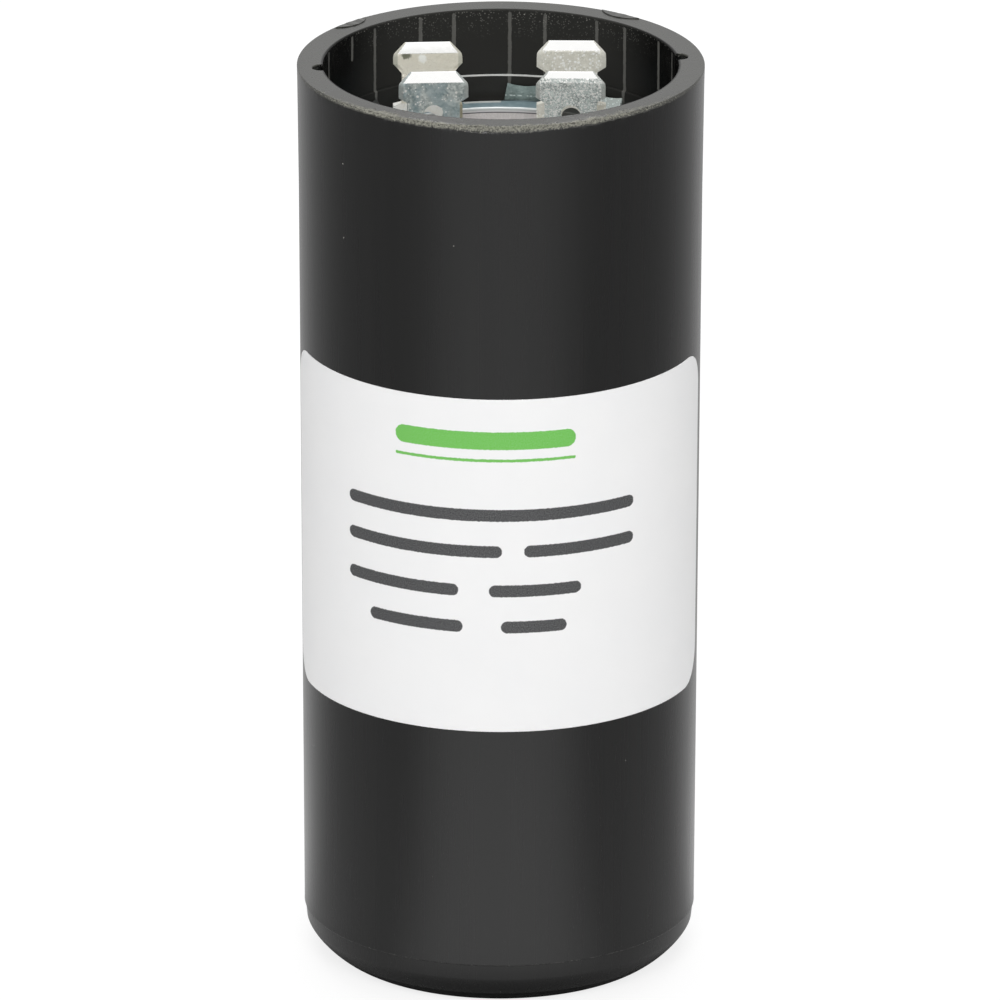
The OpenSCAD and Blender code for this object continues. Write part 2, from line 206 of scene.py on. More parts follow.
def quads_of(index, closed=False):
    """Quads between neighbours in a grid of point numbers, the last column joined to the first where the
    surface closes on itself."""
    if closed:
        index = np.concatenate([index, index[:, :1]], axis=1)
    corners = [index[:-1, :-1], index[:-1, 1:], index[1:, 1:], index[1:, :-1]]
    return np.stack(corners, axis=-1).reshape(-1, 4)


def grid_quads(rows, columns, closed=False):
    """Quads of a grid of points stored row by row."""
    return quads_of(np.arange(rows * columns).reshape(rows, columns), closed)


def new_piece(name, points, quads, sharp, marks=None):
    """Makes a mesh object of the points and quads, with a value per point for each mark. Points that
    coincide are merged, so seams and poles close, faces are turned outwards, and edges sharper than the
    given angle stay crisp."""
    mesh = bpy.data.meshes.new(name)
    mesh.from_pydata(points.reshape(-1, 3), [], quads)
    for mark, values in (marks or {}).items():
        layer = mesh.attributes.new(mark, "FLOAT", "POINT")
        layer.data.foreach_set("value", np.asarray(values, np.float32).ravel())
    shape = bmesh.new()
    shape.from_mesh(mesh)
    bmesh.ops.remove_doubles(shape, verts=shape.verts, dist=MERGE_WITHIN)
    bmesh.ops.recalc_face_normals(shape, faces=shape.faces)
    shape.to_mesh(mesh)
    shape.free()
    mesh.shade_smooth()
    mesh.set_sharp_from_angle(angle=sharp)
    piece = bpy.data.objects.new(name, mesh)
    bpy.context.scene.collection.objects.link(piece)
    return piece


def revolve(radius, height, angle):
    """Points of a surface of revolution: each row has its radius and height, each column its angle."""
    radius, height = np.broadcast_arrays(radius, height)
    return np.stack([radius * np.cos(angle), radius * np.sin(angle), height + 0 * angle], axis=-1)


def soften(piece, angle):
    """Rounds the piece's edges that are sharper than the angle, and keeps its flat faces flat in shading."""
    bevel = piece.modifiers.new("edges", "BEVEL")
    bevel.width = SHEET_EDGE
    bevel.segments = 2
    bevel.limit_method = "ANGLE"
    bevel.angle_limit = angle
    piece.modifiers.new("normals", "WEIGHTED_NORMAL").keep_sharp = True


def settle(piece, material, slot, *nodes):
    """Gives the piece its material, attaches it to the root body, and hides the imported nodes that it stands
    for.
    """
    piece.data.materials.append(material)
    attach(piece, "root")
    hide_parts(*nodes)


# Values that change over a surface, and the shader nodes that work them out

class Value:
    """An output of a shader node. Arithmetic with numbers and other values adds Math nodes."""

    def __init__(self, socket):
        self.socket = socket
        self.tree = socket.id_data

    def __add__(self, other):
        return calc("ADD", self, other)

    def __sub__(self, other):
        return calc("SUBTRACT", self, other)

    def __rsub__(self, other):
        return calc("SUBTRACT", other, self)

    def __mul__(self, other):
        return calc("MULTIPLY", self, other)

    def __truediv__(self, other):
        return calc("DIVIDE", self, other)

    def __abs__(self):
        return calc("ABSOLUTE", self)

    __radd__ = __add__
    __rmul__ = __mul__


def feed(node, inputs):
    """Links a node's inputs to values, or sets them to numbers and colours, by name or place."""
    for key, value in inputs.items():
        if isinstance(value, Value):
            node.id_data.links.new(value.socket, node.inputs[key])
        else:
            node.inputs[key].default_value = value


def add(tree, kind, inputs=None, output=0, **options):
    """Adds a shader node with its options and inputs, and gives one of its outputs."""
    node = tree.nodes.new("ShaderNode" + kind)
    for key, value in options.items():
        setattr(node, key, value)
    feed(node, inputs or {})
    return Value(node.outputs[output])


def derive(kind, inputs, output=0, **options):
    """Adds a node beside the first value among its inputs."""
    beside = next(value for value in inputs.values() if isinstance(value, Value))
    return add(beside.tree, kind, inputs, output, **options)


def outputs(value):
    """Everything that a value's node puts out, by name."""
    return {socket.name: Value(socket) for socket in value.socket.node.outputs}


def calc(operation, *values, clamp=False):
    """Result of a Math node on values and numbers."""
    return derive("Math", dict(enumerate(values)), operation=operation, use_clamp=clamp)


def largest(first, *others):
    """The largest of the values."""
    for other in others:
        first = calc("MAXIMUM", first, other)
    return first


def ramp(value, low, high, to_low=0.0, to_high=1.0):
    """Goes smoothly from to_low at low to to_high at high."""
    inputs = {"Value": value, 1: low, 2: high, 3: to_low, 4: to_high}
    return derive("MapRange", inputs, interpolation_type="SMOOTHSTEP")


def fall(value, low, high):
    """Goes smoothly from 1 at low to 0 at high."""
    return ramp(value, low, high, 1.0, 0.0)


def stripe(value, low, high, soft):
    """1 between low and high, 0 outside, with soft edges."""
    return ramp(value, low - soft, low + soft) * fall(value, high - soft, high + soft)


def mix(factor, first, second):
    """Colour that goes from first to second with the factor."""
    return derive("Mix", {0: factor, 6: first, 7: second}, 2, data_type="RGBA")


def noise(vector, scale, detail=2.0, roughness=0.5):
    """Value of a noise texture, about 0.5 on average."""
    return derive("TexNoise", {"Vector": vector, "Scale": scale, "Detail": detail, "Roughness": roughness})


def bump(height, strength, distance):
    """Normal tilted by a height, in metres at strength 1 and distance 1."""
    return derive("Bump", {"Height": height, "Strength": strength, "Distance": distance})


def split(vector):
    """The three parts of a vector."""
    return list(outputs(derive("SeparateXYZ", {0: vector})).values())


def stretched(vector, scale):
    """The vector with its parts scaled, which stretches a pattern where a scale is under 1."""
    return derive("Mapping", {0: vector, 3: scale})


def axis_distance(at):
    """Distance from the upright axis."""
    level = derive("VectorMath", {0: at, 1: (1.0, 1.0, 0.0)}, operation="MULTIPLY")
    return derive("VectorMath", {0: level}, "Value", operation="LENGTH")


def hypot(x, y):
    """Square root of the sum of two squares."""
    return calc("SQRT", x * x + y * y)


# Effects that several materials share

def new_group(name, numbers, results):
    """Empty node group that takes a vector and the named numbers: the group, its inputs and its output."""
    group = bpy.data.node_groups.new(name, "ShaderNodeTree")
    group.interface.new_socket("Vector", in_out="INPUT", socket_type="NodeSocketVector")
    for number, default in numbers.items():
        socket = group.interface.new_socket(number, in_out="INPUT", socket_type="NodeSocketFloat")
        socket.default_value = default
    for result in results:
        group.interface.new_socket(result, in_out="OUTPUT", socket_type="NodeSocketFloat")
    given = {socket.name: Value(socket) for socket in group.nodes.new("NodeGroupInput").outputs}
    return group, given, group.nodes.new("NodeGroupOutput")


def cells(given):
    """Distance to the middle of each Voronoi cell, the cell's random colour, and the three parts of that."""
    made = outputs(derive("TexVoronoi", {"Vector": given["Vector"], "Scale": given["Scale"]}))
    parts = outputs(derive("SeparateColor", {0: made["Color"]}))
    return made["Distance"], made["Color"], list(parts.values())


def flecks_group():
    """Small scattered specks: cells of a Voronoi pattern keep a dot at their middle, where a random value
    of the cell is under the share, with a random size up to the given one."""
    group, given, out = new_group("flecks", {"Scale": 1000.0, "Size": 0.3, "Share": 0.3}, ["Mask"])
    distance, _, random = cells(given)
    kept = calc("LESS_THAN", random[0], given["Share"])
    size = given["Size"] * (0.3 + 0.7 * random[1])
    near = calc("SUBTRACT", 1.0, distance / size, clamp=True)
    feed(out, {"Mask": kept * ramp(near, 0.0, 0.5)})
    return group


def spangle_group():
    """Crystal facets of a plated sheet: each Voronoi cell has its own slope, given as a height that rises
    along a random direction, and its own brightness."""
    group, given, out = new_group("spangle", {"Scale": 2500.0}, ["Height", "Tone"])
    _, colour, random = cells(given)
    lean = derive("VectorMath", {0: colour, 1: (0.5, 0.5, 0.5)}, operation="SUBTRACT")
    slope = derive("VectorMath", {0: lean, 1: given["Vector"]}, "Value", operation="DOT_PRODUCT")
    feed(out, {"Height": slope, "Tone": random[2]})
    return group


PATCH = {"Middle X": 0.0, "Middle Y": 0.0, "Half X": 1.0, "Half Y": 0.5}


def bar_group():
    """Printed bar: 1 inside a rectangle with rounded ends, whose edge wavers a little, else 0."""
    group, given, out = new_group("print_bar", PATCH, ["Mask"])
    x, y, _ = split(given["Vector"])
    over = largest(0.0, abs(x - given["Middle X"]) - given["Half X"] + given["Half Y"])
    ragged = 0.12 * (noise(given["Vector"], 4.0) - 0.5)
    edge = given["Half Y"] - (hypot(over, y - given["Middle Y"]) + ragged)
    feed(out, {"Mask": ramp(edge, -0.04, 0.04)})
    return group


def spot_group():
    """Soft spot: 1 in the middle of an ellipse, 0 past its edge, which is ragged."""
    group, given, out = new_group("spot", PATCH, ["Mask"])
    x, y, _ = split(given["Vector"])
    away = hypot((x - given["Middle X"]) / given["Half X"], (y - given["Middle Y"]) / given["Half Y"])
    ragged = 1.2 * noise(given["Vector"], 3.5, 3.0) - 0.6
    feed(out, {"Mask": fall(away + ragged, 0.55, 1.1)})
    return group


FLECKS = flecks_group()
SPANGLE = spangle_group()
PRINT_BAR = bar_group()
SPOT = spot_group()


def wire(group, inputs):
    """Places a node group, and gives everything that it puts out by name."""
    return outputs(derive("Group", inputs, node_tree=group))


def flecks(at, scale, size, share):
    """Mask of scattered specks."""
    return wire(FLECKS, {"Vector": at, "Scale": scale, "Size": size, "Share": share})["Mask"]


def spangle(at, scale):
    """Height and tone of crystal facets, with so many in a metre."""
    return wire(SPANGLE, {"Vector": at, "Scale": scale})


def patch(group, at, x, y, half_x, half_y):
    """Mask of a printed bar or a spot, by its middle and its half sizes."""
    inputs = {"Vector": at, "Middle X": x, "Middle Y": y, "Half X": half_x, "Half Y": half_y}
    return wire(group, inputs)["Mask"]


# The materials

def new_material(name):
    """New node material, its Object coordinates and its Principled shader."""
    material = bpy.data.materials.new(name)
    material.use_nodes = True
    tree = material.node_tree
    return material, add(tree, "TexCoord", output="Object"), tree.nodes["Principled BSDF"]


def phenolic():
    """Black moulded phenolic: fine grain, faint upright streaks outside, a rim edge with pale chips that thin
    out to the sides, pale scored lines in the bore, painted highlights along the ledge's edge and the parting
    line, and haze and dust below the rim."""
    material, at, shader = new_material("phenolic")
    chalk_and_highlight, score_and_highlight, bore = [add(at.tree, "Attribute", None, "Fac", attribute_name=mark) for mark in CUP_MARKS]
    _, y, z = split(at)
    inside = fall(axis_distance(at), MOUTH_R + 0.1 * MM, MOUTH_R + 0.3 * MM)
    on_rim = ramp(z, RIM_Z - 0.5 * MM, RIM_Z - 0.1 * MM)
    haze = inside * ramp(y, 7 * MM, 14 * MM)
    streaks = noise(stretched(at, (1.0, 1.0, 0.03)), 700.0)
    grain = noise(at, 7000.0, 3.0)
    crumbs = noise(at, 7600.0, 5.0, 0.75)
    chips = ramp(crumbs + 0.28 * chalk_and_highlight, 0.63, 0.75) * ramp(chalk_and_highlight, 0.02, 0.15)
    pits = ramp(noise(at, 5200.0, 4.0, 0.7) + 0.13 * chalk_and_highlight, 0.46, 0.72)
    # Painted highlight: where the chalk mark passes 1, the ledge's edge is made pale as if it caught the light
    # at the back
    ledge_highlight = ramp(chalk_and_highlight, 1.1, 1.9)
    burr = noise(stretched(at, (1.0, 1.0, 0.35)), 3400.0, 3.0, 0.65)
    # Pale scored lines, and the painted highlight along the parting line
    scraped_and_highlight = ramp(0.9 * burr + score_and_highlight, 0.75, 1.07) * ramp(score_and_highlight, 0.0, 0.2)
    clusters = ramp(noise(at, 520.0, 3.0, 0.6) + 0.3 * bore, 0.40, 0.66)
    dust = largest(flecks(at, 2800.0, 0.24, 0.22), 0.46 * flecks(at, 5200.0, 0.46, 0.9)) * clusters * bore
    rare = flecks(at, 700.0, 0.075, 0.09)
    tone = mix(streaks, (0.0028, 0.0028, 0.0027, 1), (0.0054, 0.0054, 0.0052, 1))
    tone = mix(haze, tone, (0.029, 0.029, 0.027, 1))
    tone = mix(scraped_and_highlight, tone, (0.115, 0.114, 0.106, 1))
    tone = mix(chips, tone, mix(pits, (0.035, 0.035, 0.03, 1), (0.27, 0.265, 0.225, 1)))
    tone = mix(ledge_highlight, tone, (0.66, 0.67, 0.65, 1))
    tone = mix(largest(dust, rare), tone, (0.34, 0.335, 0.31, 1))
    wear_and_highlight = largest(chips, scraped_and_highlight, dust, ledge_highlight)
    feed(shader, {
        "Base Color": tone,
        "Roughness": largest(0.25 + 0.05 * streaks * (1.0 - inside), 0.7 * wear_and_highlight),
        "Specular IOR Level": 0.5 - 0.44 * inside,
        "Specular Tint": mix(on_rim, (1.0, 1.0, 1.0, 1), (1.0, 1.0, 0.88, 1)),
        "Normal": bump(9.0 * chips * crumbs + grain, 0.5, 0.01 * MM),
    })
    return material


# Print on the label: each bar's left and right end, the height of its middle and its thickness, in
# millimetres from the label's middle
GREEN_BARS = [(-9.9, 7.0, 12.1, 1.7), (-9.9, 7.0, 10.2, 0.28)]
DARK_BARS = [
    (-15.4, 13.2, 4.9, 1.15),
    (-15.4, 0.2, 1.4, 1.15), (2.2, 13.2, 1.4, 1.15),
    (-15.4, -3.8, -2.4, 1.15), (-1.0, 7.6, -2.4, 1.15),
    (-12.8, -3.4, -5.9, 1.15), (0.1, 6.2, -5.9, 1.15),
]
GREEN_INK = (0.13, 0.50, 0.06, 1)
DARK_INK = (0.028, 0.029, 0.031, 1)


def label_stock():
    """White self-adhesive label, faintly mottled, with plain printed bars in green and dark grey."""
    material, at, shader = new_material("label_stock")
    sheet = add(at.tree, "UVMap", uv_map="label_mm")
    fibre = noise(at, 4200.0, 3.0)
    tone = mix(noise(at, 160.0), (0.855, 0.857, 0.863, 1), (0.895, 0.892, 0.888, 1))
    cover = calc("ADD", 0.25 * noise(sheet, 9.0), 0.82, clamp=True)
    for bars, ink in ((GREEN_BARS, GREEN_INK), (DARK_BARS, DARK_INK)):
        masks = [patch(PRINT_BAR, sheet, (left + right) / 2, height, (right - left) / 2, thick / 2)
                 for left, right, height, thick in bars]
        tone = mix(largest(*masks) * cover, tone, ink)
    feed(shader, {
        "Base Color": tone,
        "Roughness": 0.40 + 0.12 * fibre,
        "Specular IOR Level": 0.35,
        "Normal": bump(fibre, 0.25, 0.004 * MM),
    })
    return material


def zinc_sheet():
    """Zinc plated spring steel: a pale blue flat band, darker teal prongs with rows of scuffs, the prongs on
    the right speckled and those on the left dark, a painted shadow on the right behind the terminal, and
    bright sheared edges along the band, which are painted highlights, the outer one partly edge wear, over a
    painted contact shadow."""
    material, at, shader = new_material("zinc_steel")
    x, y, z = split(at)
    radius = axis_distance(at)
    rise = z - HEADER_TOP
    turn = calc("ARCTAN2", y, x) - PRONG_AT
    beside = abs(calc("WRAP", turn, PRONG_STEP / 2, -PRONG_STEP / 2)) * radius
    between = ramp(beside, PRONG_ROOT_W / 2, PRONG_ROOT_W / 2 + 0.1 * MM)
    on_prong = ramp(radius, RING_ROOT_R - 0.05 * MM, RING_ROOT_R + 0.25 * MM)
    on_right = ramp(x, 8 * MM, 9 * MM)
    on_left = fall(x, -9 * MM, -8 * MM)
    cloud = ramp(noise(at, 900.0, 4.0, 0.65), 0.3, 0.7)
    band = mix(cloud, (0.27, 0.385, 0.43, 1), (0.40, 0.53, 0.57, 1))
    climb = 0.4 * cloud + ramp(rise, 0.5 * MM, 1.7 * MM, 0.0, 0.6)
    prong = mix(climb, (0.022, 0.033, 0.031, 1), (0.165, 0.21, 0.20, 1))
    prong = mix(on_right, prong, (0.42, 0.47, 0.45, 1))
    prong = mix(on_left, prong, (0.04, 0.042, 0.04, 1))
    tone = mix(on_prong, band, prong)
    # Painted highlight along the band's outer edge between the prongs, partly edge wear
    lip = stripe(radius, RING_OUTER_R - 0.55 * MM, RING_OUTER_R + 0.1 * MM, 0.05 * MM)
    tone = mix(lip * between, tone, (0.90, 0.95, 0.92, 1))
    # The sheared inner edge: a painted highlight along its top, a painted reflection in a lighter stripe lower
    # down, and a painted contact shadow where it sits on the header
    sheared = mix(ramp(rise, 0.38 * MM, 0.44 * MM), (0.50, 0.53, 0.53, 1), (0.92, 0.97, 0.97, 1))
    sheared = mix(stripe(rise, 0.12 * MM, 0.22 * MM, 0.02 * MM), sheared, (0.60, 0.60, 0.60, 1))
    sheared = mix(fall(rise, 0.07 * MM, 0.11 * MM), sheared, (0.10, 0.10, 0.11, 1))
    tone = mix(fall(radius, RING_INNER_R + 0.05 * MM, RING_INNER_R + 0.09 * MM), tone, sheared)
    # Painted shadow: the sheared edge behind the right terminal is darkened where the terminal's blades shade
    # it
    terminal_shadow = stripe(x, 4.7 * MM, 8.2 * MM, 0.3 * MM) * ramp(y, 0.0, MM)
    tone = mix(terminal_shadow, tone, (0.085, 0.09, 0.083, 1))
    dashes = ramp(noise(stretched(at, (1.0, 1.0, 0.01)), 2600.0), 0.46, 0.56)
    rows = stripe(rise, 0.92 * MM, 1.0 * MM, 0.03 * MM) + 0.3 * stripe(rise, 1.2 * MM, 1.25 * MM, 0.03 * MM)
    marks = on_prong * largest(0.24 * rows * dashes, flecks(at, 5200.0, 0.6, 0.7) * on_right)
    facets = spangle(at, 3200.0)
    feed(shader, {
        "Base Color": mix(marks, tone, (0.80, 0.88, 0.86, 1)),
        "Metallic": 0.2 + 0.6 * on_prong * (1.0 - on_right),
        "Roughness": 0.28 + 0.16 * facets["Tone"],
        "Normal": bump(0.05 * facets["Height"], on_prong, 1.0),
    })
    return material


# How each blade aged, with some light painted in: its dull and bright tones, its stain and the tone of its
# side facets, its share of bare metal, its roughness, the slope of its crystal facets, the share of bright
# flecks, which are partly painted glints, how far the facets differ in brightness and how many there are in a
# metre, the height and lower tone of its bright tip facet, how bright its foot is, partly painted light, the
# darker olive strip on the right of the foot, and how much lower than the imported height it stands
LEFT_FRONT = dict(
    dull=(0.25, 0.305, 0.30, 1), bright=(0.95, 0.99, 0.94, 1), stain=(0.30, 0.41, 0.44, 1),
    edge=(0.41, 0.44, 0.42, 1), metal=0.25, rough=0.38, slope=0.08, flecks=0.06, grain=0.45, cell=5200.0,
    tip=BEVEL_H, tip_low=1.0, foot=0.0, olive_strip=0.0, short=LEFT_SHORT[0])
# Painted reflection: the left rear blade's warm beige tones stand for light bounced off the lit back of the
# front blade
LEFT_REAR = dict(
    dull=(0.76, 0.72, 0.60, 1), bright=(0.90, 0.86, 0.74, 1), stain=(0.84, 0.81, 0.70, 1),
    edge=(0.50, 0.50, 0.42, 1), metal=0.0, rough=0.40, slope=0.02, flecks=0.0, grain=0.3, cell=5200.0,
    tip=BEVEL_H, tip_low=0.80, foot=1.0, olive_strip=0.9, short=LEFT_SHORT[1])
RIGHT_FRONT = dict(
    dull=(0.29, 0.325, 0.31, 1), bright=(0.76, 0.83, 0.79, 1), stain=(0.54, 0.61, 0.58, 1),
    edge=(0.44, 0.46, 0.43, 1), metal=0.1, rough=0.34, slope=0.25, flecks=1.0, grain=1.2, cell=5400.0,
    tip=0.55 * MM, tip_low=1.0, foot=0.0, olive_strip=0.0, short=RIGHT_SHORT[0])
RIGHT_REAR = dict(
    dull=(0.62, 0.61, 0.53, 1), bright=(0.90, 0.88, 0.79, 1), stain=(0.74, 0.72, 0.64, 1),
    edge=(0.70, 0.69, 0.62, 1), metal=0.05, rough=0.38, slope=0.10, flecks=0.3, grain=0.6, cell=4600.0,
    tip=0.82 * MM, tip_low=1.0, foot=0.15, olive_strip=0.25, short=RIGHT_SHORT[1])
# Spots on the front of the left rear blade: middle across it and below its tip and half sizes, in
# millimetres, and colour
LEFT_SPOTS = [
    (-2.0, 1.15, 0.55, 0.34, (0.21, 0.21, 0.15, 1)),
    (-0.5, 1.42, 0.42, 0.52, (0.99, 0.99, 0.93, 1)),
]


def tinned(name, x, turn, front, rear, spots=()):
    """Tinned sheet of a terminal, whose front and rear blades aged differently: clouded tones and a stain,
    crystal facets and bright flecks that are partly painted glints, a bright coined tip between darker side
    facets, a foot made pale on the left, partly as painted light, with a darker olive strip on the right, and
    spots on the rear blade's front."""
    material, at, shader = new_material(name)
    own = derive("Mapping", {0: at, 1: (x, 0, 0), 2: (0, 0, turn)}, vector_type="TEXTURE")
    across, depth, height = split(own)
    behind = ramp(depth, -0.5 * MM, 0.5 * MM)

    def either(key):
        return ramp(behind, 0.0, 1.0, front[key], rear[key])

    def either_tone(key):
        return mix(behind, front[key], rear[key])

    drop = TIP_Z - either("short") - height
    apart = abs(across)
    facets = spangle(at, either("cell"))
    cloud = 1.4 * noise(at, 1300.0, 4.0, 0.65) - 0.325
    share = calc("ADD", (facets["Tone"] - 0.5) * either("grain"), cloud, clamp=True)
    tone = mix(share, either_tone("dull"), either_tone("bright"))
    tone = mix(0.5 * ramp(noise(at, 620.0), 0.45, 0.6), tone, either_tone("stain"))
    # Bright flecks, partly painted glints of the plating's crystals
    specks = largest(flecks(at, 3700.0, 0.72, either("flecks")), flecks(at, 6200.0, 0.75, either("flecks")))
    # The foot is made pale on the left, partly as painted light for a place that lies in shade between the
    # blades
    low = ramp(drop, HEAD_H + NECK_H - 0.2 * MM, HEAD_H + NECK_H)
    lumps = ramp(noise(at, 2100.0), 0.38, 0.6, 0.7, 1.0)
    foot = low * lumps * ramp(across, 1.2 * MM, 2.0 * MM, either("foot"), 0.0)
    tone = mix(largest(specks, foot), tone, (0.97, 0.97, 0.93, 1))
    # A darker olive strip on the right of the foot
    olive_strip = low * ramp(across, 1.9 * MM, 2.1 * MM, 0.0, either("olive_strip"))
    tone = mix(olive_strip, tone, (0.30, 0.28, 0.19, 1))
    flat = derive("CombineXYZ", {0: across / MM, 1: drop / MM})
    facing = behind * fall(depth, BLADE_PITCH / 2 - 0.1 * MM, BLADE_PITCH / 2)
    for *place, colour in spots:
        tone = mix(patch(SPOT, flat, *place) * facing, tone, colour)
    # The tip facet widens downwards, and the side facets lie outside it and down the head
    within = fall(apart - 0.78 * drop, 1.98 * MM, 2.06 * MM)
    above = fall(drop - either("tip"), -0.05 * MM, 0.05 * MM)
    coined = above * within
    long_side = ramp(apart, 2.72 * MM, 2.84 * MM) * fall(drop, 2.5 * MM, 2.6 * MM)
    facet = largest(long_side, above * (1.0 - within))
    tone = mix(0.75 * facet, tone, either_tone("edge"))
    fading = ramp(drop, 0.25 * MM, BEVEL_H, 1.0, either("tip_low"))
    tip_tone = mix(fading, (0.30, 0.30, 0.27, 1), (0.97, 0.97, 0.955, 1))
    feed(shader, {
        "Base Color": mix(coined, tone, tip_tone),
        "Metallic": largest(either("metal"), coined),
        "Roughness": either("rough") + 0.12 * facets["Tone"] - 0.1 * specks - 0.34 * coined,
        "Normal": bump(facets["Height"] * either("slope"), 1.0 - coined, 1.0),
    })
    return material


def board():
    """Pressed header board: warm pinkish grey with short fibres and soft clouds."""
    material, at, shader = new_material("header_board")
    fibre = noise(stretched(at, (1.0, 0.25, 1.0)), 5200.0, 4.0, 0.65)
    cloud = ramp(noise(at, 420.0, 3.0), 0.35, 0.75, 0.0, 0.35)
    tone = mix(ramp(fibre, 0.3, 0.7), (0.45, 0.425, 0.415, 1), (0.58, 0.55, 0.54, 1))
    feed(shader, {
        "Base Color": mix(cloud, tone, (0.39, 0.355, 0.35, 1)),
        "Roughness": 0.5 + 0.2 * fibre,
        "Normal": bump(fibre, 0.5, 0.02 * MM),
    })
    return material


def soft_black(name, dark, light, roughness):
    """Dull rubber or set compound: near black with pale bloom and a fine skin texture."""
    material, at, shader = new_material(name)
    bloom = ramp(noise(at, 900.0, 4.0, 0.6), 0.35, 0.75)
    skin = noise(at, 6000.0)
    feed(shader, {
        "Base Color": mix(bloom, dark, light),
        "Roughness": 0.2 * skin + (roughness - 0.1),
        "Specular IOR Level": 0.3,
        "Normal": bump(skin, 0.4, 0.02 * MM),
    })
    return material


def plain_metal(name, dull, bright, roughness, lines):
    """Soft bright metal: cloudy tone with fine lines drawn along the given stretch of the pattern."""
    material, at, shader = new_material(name)
    drawn = noise(stretched(at, lines), 6000.0, 3.0)
    cloud = ramp(noise(at, 800.0, 3.0), 0.3, 0.7)
    feed(shader, {
        "Base Color": mix(cloud, dull, bright),
        "Metallic": 1.0,
        "Roughness": 0.2 * drawn + (roughness - 0.1),
        "Normal": bump(drawn, 0.35, 0.006 * MM),
    })
    return material


def layered(name, dark, light, metallic, roughness, pitch):
    """Wound or wrapped layers: thin rings round the axis at the given pitch, over a fibrous tone."""
    material, at, shader = new_material(name)
    uneven = noise(at, 1500.0, 3.0)
    wave = calc("SINE", axis_distance(at) * (TURN / pitch) + 3.0 * uneven)
    layer = 0.5 * wave + 0.5
    feed(shader, {
        "Base Color": mix(layer * uneven, dark, light),
        "Metallic": metallic,
        "Roughness": 0.2 * uneven + (roughness - 0.1),
        "Normal": bump(layer, 0.4, 0.02 * MM),
    })
    return material


# The cup

CUP_STEPS = 720
# Lines that the two corners of each prong scored in the bore, a little clockwise of the prongs
SCORE_SEED = 3
SCORE_HALF = 5.8 * DEG
SCORE_BACK = 0.5 * DEG
SCORE_W = 0.38 * MM
SCORE_DEPTH = 0.05 * MM
SCORE_REACH = 9 * MM
SHORT_SCORE = 5
SHORT_REACH = 2.85 * MM
SCORE_FADE = 0.4 * MM
SCORE_AT = (PRONG_AT - SCORE_BACK + np.arange(PRONG_COUNT)[:, None] * PRONG_STEP
            + np.array([-1, 1]) * SCORE_HALF).ravel()
# How far the rim's edge is worn down the wall and in on the flat, by the angle from the front
CHALK_SEED = 11
WORN_AT = np.array([0, 16, 27, 37, 55, 70, 90, 180]) * DEG
WORN_DOWN = np.array([0.66, 0.50, 0.43, 0.28, 0.26, 0.13, 0.08, 0.08]) * MM
WORN_IN = np.array([0.84, 0.90, 1.12, 1.4, 1.0, 0.55, 0.2, 0.2]) * MM
WORN_LUMP = 0.05 * MM
CHALK_RAGGED = 0.25 * MM
CHALK_FADE = 0.6 * MM
# Rounded inner edge of the rim, and the strip of flat that ends before it
INNER_EDGE = 0.12 * MM
INNER_FLAT = 0.135 * MM
DUST_DEPTH = 3 * MM


def cup_angles():
    """Angles of the cup's columns: even steps, with more across each scored line, notch and pad."""
    half_score = SCORE_W / 2 / MOUTH_R
    half_notch = math.asin(NOTCH_W / 2 / MOUTH_R)
    just_past = [-1.005, 1.005]
    extra = [
        SCORE_AT[:, None] + half_score * np.array([-1.5, -1.1, -0.9, -0.4, 0, 0.4, 0.9, 1.1, 1.5]),
        NOTCH_AT[:, None] + half_notch * np.append(np.linspace(-0.995, 0.995, 17), just_past),
        PAD_AT[:, None] + PAD_HALF * np.append(np.linspace(-0.995, 0.995, 41), just_past),
    ]
    even = np.arange(CUP_STEPS) * TURN / CUP_STEPS
    every = np.concatenate([even] + [e.ravel() for e in extra]) % TURN
    return np.unique(every.round(7))


def mouth_radius(angle, depth):
    """Radius of the bore at a depth below the rim: the plain bore, let out by the round-ended notches."""
    apart, _ = off_by(angle, NOTCH_AT)
    across = MOUTH_R * np.sin(apart)
    half = NOTCH_W / 2
    inside = (np.abs(across) < half) & (depth < NOTCH_H)
    bulge = NOTCH_IN - half + np.sqrt(np.clip(half * half - across * across, 0, None))
    return MOUTH_R + np.where(inside, bulge, 0.0)


def pads(angle, limit):
    """Which columns cross a pad, and the radius where each leaves the pad's circle on the inside, which is
    the limit where there is no pad."""
    apart, _ = off_by(angle, PAD_AT)
    on_pad = np.abs(apart) < PAD_HALF
    turned = np.where(on_pad, apart, 0)
    inner = PAD_MIDDLE_R * np.cos(turned) - np.sqrt(PAD_R ** 2 - (PAD_MIDDLE_R * np.sin(turned)) ** 2)
    return on_pad, np.where(on_pad, np.minimum(inner, limit), limit)


def scored(angle):
    """How strongly each column is scored, from 0 to 1, and how deep below the rim its line reaches."""
    apart, which = off_by(angle, SCORE_AT)
    strength = np.random.default_rng(SCORE_SEED).uniform(0.65, 1.0, len(SCORE_AT))
    reach = np.full(len(SCORE_AT), SCORE_REACH)
    reach[SHORT_SCORE] = SHORT_REACH
    inside = np.clip(1.5 - np.abs(apart) / (SCORE_W / 2 / MOUTH_R), 0, 1)
    return inside * strength[which], reach[which]


